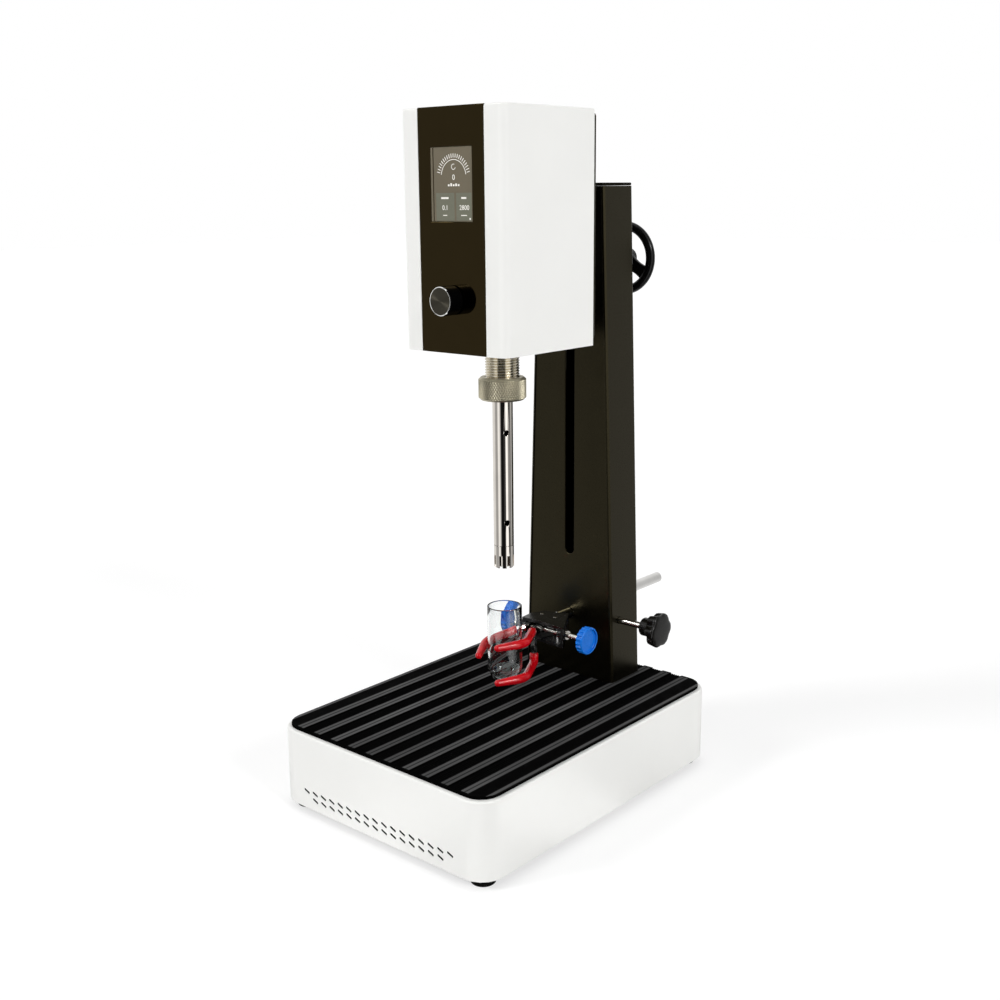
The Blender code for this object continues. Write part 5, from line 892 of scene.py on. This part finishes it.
def dress_nut():
    """Nut with a diamond knurl between two bare chamfers."""
    low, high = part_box("knurled_nut")
    radius = (high.x - low.x) / 2
    chamfer, depth = 1.6 * MM, 0.5 * MM
    bore, top_bore, ledge = 9.4 * MM, 15.35 * MM, low.z + 5.4 * MM
    band_low, band_high = low.z + chamfer, high.z - chamfer
    profile = [(top_bore, high.z), (radius - chamfer - depth, high.z), (radius - depth, band_high)]
    profile += [(radius, z, 1) for z in levels(band_high, band_low, 60)[1:-1]]
    profile += [(radius - depth, band_low), (radius - chamfer - depth, low.z), (bore, low.z)]
    profile += [(bore, ledge), (top_bore, ledge)]
    around = round(TAU * radius / KNURL_PITCH)
    look = (KNURL, "nut", "dull_steel")
    sizes = {"Count": around, "Lead": KNURL_LEAN / KNURL_PITCH, "Depth": depth}
    sizes.update({"Foot": 0.0, "Crest": 0.55, "Crossed": 1.0, "smooth": math.radians(20)})
    piece = ridged("nut_knurl", profile, probe_axis(), "Z", around * 6, *look, **sizes)
    stand_for(piece, "knurled_nut")


def dress_probe():
    softened("probe_tube", STEEL, 0.3 * MM)
    softened("stator_head", STEEL, 0.2 * MM)
    softened("rotor", STEEL, 0.1 * MM, segments=1)


# The vessel clamp


def dress_clamp():
    softened("clamp_body", CASTING, 0.7 * MM, segments=3, edge_finish=STEEL_ACROSS)
    dress_rod("clamp_rod", "Y", STEEL_ACROSS, 0.8 * MM)
    for side in ("left", "right"):
        softened(f"jaw_{side}", STEEL_ACROSS, 0.4 * MM)
        softened(f"thumb_screw_{side}", STEEL_SIDE, 0.15 * MM, segments=1)
        dress_rod(f"jaw_pin_{side}", "Z", STEEL)
        dress_thumb_knob(side)
    dress_rod("star_screw", "X", STEEL_SIDE)
    dress_star_knob()


def dress_thumb_knob(side):
    """Blue knob with coarse ribs, a plain rim and a shallow dish in its outer face."""
    node = f"thumb_knob_{side}"
    low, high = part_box(node)
    radius, half = (high.y - low.y) / 2, (high.x - low.x) / 2
    way = 1 if side == "right" else -1
    edge, rim, dish, notch, turn_in = 0.6 * MM, 1.7 * MM, 2.0 * MM, 0.5 * MM, 0.2 * MM
    inner, sunk, back = radius - rim, half - dish, -half + edge
    profile = [(0, sunk), (inner - notch, sunk), (inner, sunk + notch)]
    profile += [(inner, half - turn_in), (inner + turn_in, half), (radius - edge, half)]
    profile += [(radius, half - edge), (radius, half - edge - notch)]
    profile += [(radius, place, 1) for place in levels(half - edge - 0.6 * MM, back, 3)]
    profile += [(radius - edge, -half, 0.6), (0.5 * radius, -half), (0.45 * radius, back), (0, back)]
    profile = [(row[0], way * row[1], *row[2:]) for row in profile]
    look = (BLUE, f"{side}_thumb_screw", "blue_plastic")
    sizes = {"Count": 18, "Depth": 1.3 * MM, "Foot": 0.2, "Crest": 0.6, "smooth": math.radians(40)}
    name, centre = f"thumb_grip_{side}", (low + high) / 2
    stand_for(ridged(name, profile, centre, "X", 216, *look, closed=False, **sizes), node)


def dress_star_knob():
    """Star knob: a round hub that swells into six lobes, which flatten out again towards the outer disc."""
    low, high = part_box("star_knob")
    centre = centre_of("star_screw")
    reach = (high.y - low.y) / 2
    hub_length, hub_radius, ease = 8.5 * MM, 8.6 * MM, 1.6 * MM
    hub, lobes = low.x + hub_length, high.x - low.x - hub_length

    def ring(along, outward, give):
        return (hub_radius + (reach - hub_radius) * outward, hub + lobes * along, give)

    profile = [(0, low.x), (hub_radius - ease, low.x)]
    profile += arc_points((hub_radius - ease, low.x + ease), ease, -60, 0, 4)
    profile += [(hub_radius, hub - 0.8 * MM), (hub_radius + 0.5 * MM, hub, 0.1), ring(0.06, 0.42, 0.55)]
    profile += [ring(0.12, 0.68, 0.85), ring(0.2, 0.8, 0.95), ring(0.32, 0.87, 1), ring(0.45, 0.91, 1)]
    profile += [ring(0.58, 0.95, 0.95), ring(0.68, 0.98, 0.85), ring(0.76, 1.0, 0.5)]
    profile += [ring(0.82, 1.0, 0.38), ring(0.87, 0.965, 0.34), ring(0.92, 0.88, 0.32)]
    profile += [ring(0.955, 0.7, 0.22), ring(0.98, 0.4, 0.1), (0.3 * reach, high.x), (0, high.x)]
    look = (STAR_BLACK, "star_screw", "black_plastic")
    sizes = {"Count": 6, "Depth": 4.2 * MM, "Foot": 0.0, "Crest": 0.8, "smooth": ROUND_ANGLE}
    place = Vector((0, centre.y, centre.z))
    piece = ridged("star_grip", profile, place, "X", 144, *look, closed=False, **sizes)
    stand_for(piece, "star_knob")


SLEEVE_RADIUS = 4.1 * MM
SLEEVE_TIP_RADIUS = 3.2 * MM
SLEEVE_BEND = 9 * MM
SLEEVE_START = 7 * MM
SLEEVE_LIP = 0.6 * MM
POST_BEND = 5 * MM
# Each sleeve in millimetres: body, heights of root and tip, climb up the post, and its route in plan
SLEEVES = {
    "sleeve_right_upper": ("right_jaw", (138.3, 138.3), 0, ((3.0, 43.5), (22.8, 7.5), (10.4, -20.6))),
    "sleeve_right_lower": ("right_jaw", (105.2, 105.2), 9, ((3.0, 43.5), (22.8, 7.5), (10.4, -20.6))),
    "sleeve_left_single": ("left_jaw", (138.0, 126.0), 0, ((-7.0, 43.5), (-23.4, 7.2), (-9.1, -21.2))),
}


def bend(start, corner, end, steps):
    for step in range(steps + 1):
        t = step / steps
        yield (1 - t) ** 2 * start + 2 * t * (1 - t) * corner + t**2 * end


def sleeve_route(heights, climb, plan):
    """Points and radii of a sleeve: down the post where it climbs it, to the elbow, to a round tip."""
    first_leg, second_leg = math.dist(plan[0], plan[1]), math.dist(plan[1], plan[2])
    elbow_height = heights[0] + (heights[1] - heights[0]) * first_leg / (first_leg + second_leg)
    corners = zip(plan, (heights[0], elbow_height, heights[1]))
    root, elbow, tip = (Vector((x, y, z)) * MM for (x, y), z in corners)
    first, second = (elbow - root).normalized(), (tip - elbow).normalized()
    enter, leave = elbow - first * SLEEVE_BEND, elbow + second * SLEEVE_BEND
    if climb:
        top = root + UP * climb * MM
        corner = bend(root + UP * POST_BEND, root, root + first * POST_BEND, 8)
        points = [top, top - UP * SLEEVE_LIP, *corner]
    else:
        points = [root + first * SLEEVE_START, root + first * (SLEEVE_START + SLEEVE_LIP)]
    points += [points[-1].lerp(enter, step / 5) for step in range(1, 5)]
    points += list(bend(enter, elbow, leave, 12))
    radii = [SLEEVE_RADIUS * (0.88 if step == 0 else 1) for step in range(len(points))]
    centre = tip - second * SLEEVE_TIP_RADIUS
    for step in range(1, 9):
        points.append(leave.lerp(centre, step / 8))
        radii.append(SLEEVE_RADIUS + (SLEEVE_TIP_RADIUS - SLEEVE_RADIUS) * step / 8)
    for step in range(1, 8):
        angle = math.radians(12 * step)
        points.append(centre + second * SLEEVE_TIP_RADIUS * math.sin(angle))
        radii.append(SLEEVE_TIP_RADIUS * math.cos(angle))
    return points, radii


def dress_sleeves():
    for node, (body, heights, climb, plan) in SLEEVES.items():
        shape = tube_along(*sleeve_route(heights, climb, plan), 24)
        stand_for(show(f"{node}_vinyl", shape, VINYL, body, "red_vinyl", math.radians(50)), node)


def dress_glass():
    """Glass tube with a fire-polished rim and a round bottom."""
    low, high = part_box("glass_tube")
    centre = (low + high) / 2
    radius, wall = (high.x - low.x) / 2, 1.5 * MM
    inner, sphere, shoulder = radius - wall, low.z + radius, high.z - wall / 2
    profile = [(0, low.z)] + arc_points((0, sphere), radius, -90, 0, 24)[1:]
    profile += [(radius, z) for z in levels(sphere, shoulder, 6)][1:-1]
    profile += arc_points((radius - wall / 2, shoulder), wall / 2, 0, 180, 8)
    profile += [(inner, z) for z in levels(shoulder, sphere, 6)][1:-1]
    profile += arc_points((0, sphere), inner, 0, -90, 24)[:-1] + [(0, low.z + wall)]
    profile = [(max(r, 0), z) for r, z in profile]
    shape = welded(turned(profile, Vector((centre.x, centre.y, 0)), "Z", 128, closed=False))
    stand_for(show("glass_wall", shape, GLASS, "vessel_clamp", "clear_glass", ROUND_ANGLE), "glass_tube")


def dress_rest():
    """Inner and plain nodes keep their shape and take a finish."""
    for node, piece in frame["nodes"].items():
        if not piece.hide_render:
            for slot in piece.material_slots:
                slot.material = SLOT_FINISH[slot_of(node)]


# Floor, light and camera


def bare_tree(owner):
    """The nodes of a world or a material, with nothing in them."""
    owner.use_nodes = True
    owner.node_tree.nodes.clear()
    return Tree(owner.node_tree)


def by_ray(tree, seen, gloss, other):
    """What the camera and glass see, what gloss sees, and what all other light sees."""
    path = tree.node("ShaderNodeLightPath").outputs
    direct = tree.math("MAXIMUM", path["Is Camera Ray"], path["Is Transmission Ray"])
    rest = tree.node("ShaderNodeMixShader", {0: path["Is Glossy Ray"], 1: other, 2: gloss}).outputs[0]
    return tree.node("ShaderNodeMixShader", {0: direct, 1: rest, 2: seen}).outputs[0]


WORLD_LIGHT = 0.6
SOFTBOX_LEVEL = 1.6
# What gloss sees round the studio: (degrees from the front towards the right, level)
STUDIO = ((-180, 0.85), (-100, 1.05), (-62, 1.0), (-48, 0.5), (-24, 0.5), (-14, 1.3), (2, 1.3), (12, 0.01))
STUDIO += ((60, 0.01), (72, 1.6), (97, 1.6), (108, 0.05), (123, 0.05), (132, 0.6), (150, 0.65), (180, 0.85))


def studio_levels(tree, place):
    """The share of the softboxes' level that lies towards a place, seen from above."""
    x, y, _ = tree.axes(place)
    round_it = tree.math("ARCTAN2", x, tree.math("MULTIPLY", y, -1.0))
    links = {"Value": round_it, "From Min": -math.pi, "From Max": math.pi}
    ramp = tree.node("ShaderNodeValToRGB", {"Fac": tree.node("ShaderNodeMapRange", links).outputs[0]})
    stops = ramp.color_ramp.elements
    for degrees, level in STUDIO:
        share = (degrees + 180) / 360
        stop = stops[0] if share == 0 else stops[-1] if share == 1 else stops.new(share)
        stop.color = (*[level / SOFTBOX_LEVEL] * 3, 1)
    return ramp.outputs["Color"]


def light_world():
    """A white studio. Gloss sees its softboxes and the dark gaps between them, all else sees it even."""
    world = bpy.data.worlds.new("studio")
    bpy.context.scene.world = world
    tree = bare_tree(world)

    def backdrop(level, colour=(1, 1, 1, 1)):
        return tree.node("ShaderNodeBackground", {"Color": colour, "Strength": level}).outputs[0]

    way = tree.node("ShaderNodeTexCoord").outputs["Generated"]
    gloss = backdrop(SOFTBOX_LEVEL, studio_levels(tree, way))
    surface = by_ray(tree, backdrop(1.0), gloss, backdrop(WORLD_LIGHT))
    tree.node("ShaderNodeOutputWorld", {"Surface": surface})


def sun(name, way, power, spread_degrees):
    """A soft, far light that shines along a direction."""
    data = bpy.data.lights.new(name, "SUN")
    data.energy = power
    data.angle = math.radians(spread_degrees)
    new_object(name, data).rotation_euler = Vector(way).to_track_quat("-Z", "Y").to_euler()


def light_scene():
    light_world()
    sun("key", (0.45, 0.72, -0.62), 1.25, 16)
    sun("side", (-0.9, 0.12, -0.5), 1.1, 14)


FLOOR_HALF = 12.0
FLOOR_MATT = 0.45
FLOOR_GLOW = 0.6
FLOOR_BOUNCE = 0.8


def lay_floor():
    """White floor. Gloss sees the same softboxes and gaps on it, laid out round the drive line."""
    shape = bmesh.new()
    bmesh.ops.create_grid(shape, x_segments=1, y_segments=1, size=FLOOR_HALF)
    floor = new_object("floor", mesh_of("floor", shape))
    material = bpy.data.materials.new("floor_white")
    tree = bare_tree(material)

    def matt(level):
        return tree.node("ShaderNodeBsdfDiffuse", {"Color": (level, level, level, 1)}).outputs[0]

    def glow(level, colour=(1, 1, 1, 1)):
        return tree.node("ShaderNodeEmission", {"Color": colour, "Strength": level}).outputs[0]

    links = {0: tree.node("ShaderNodeTexCoord").outputs["Object"], 1: probe_axis()}
    from_axis = tree.node("ShaderNodeVectorMath", links, operation="SUBTRACT").outputs[0]
    pale = tree.node("ShaderNodeAddShader", {0: matt(FLOOR_MATT), 1: glow(FLOOR_GLOW)}).outputs[0]
    gloss = glow(SOFTBOX_LEVEL, studio_levels(tree, from_axis))
    tree.node("ShaderNodeOutputMaterial", {"Surface": by_ray(tree, pale, gloss, matt(FLOOR_BOUNCE))})
    floor.data.materials.append(material)


def set_camera():
    data = bpy.data.cameras.new("camera")
    data.sensor_width = SENSOR_MM
    data.lens = CAMERA_LENS_PIXELS * SENSOR_MM / PICTURE_PIXELS
    camera = new_object("camera", data)
    flat = Vector((math.sin(CAMERA_YAW), -math.cos(CAMERA_YAW), 0))
    back = (flat * math.cos(CAMERA_PITCH) + UP * math.sin(CAMERA_PITCH)).normalized()
    side = (-back).cross(UP).normalized()
    above = side.cross(-back)
    c, s = math.cos(CAMERA_ROLL), math.sin(CAMERA_ROLL)
    right, top = c * side + s * above, -s * side + c * above
    turn = Matrix((right, top, back)).transposed().to_4x4()
    camera.matrix_world = Matrix.Translation(CAMERA_PLACE) @ turn
    bpy.context.scene.camera = camera


bpy.context.scene.view_settings.view_transform = "Standard"
set_camera()
dress_base()
dress_column()
dress_head()
dress_display()
dress_knob()
dress_collar()
dress_nut()
dress_probe()
dress_clamp()
dress_sleeves()
dress_glass()
dress_rest()
light_scene()
lay_floor()
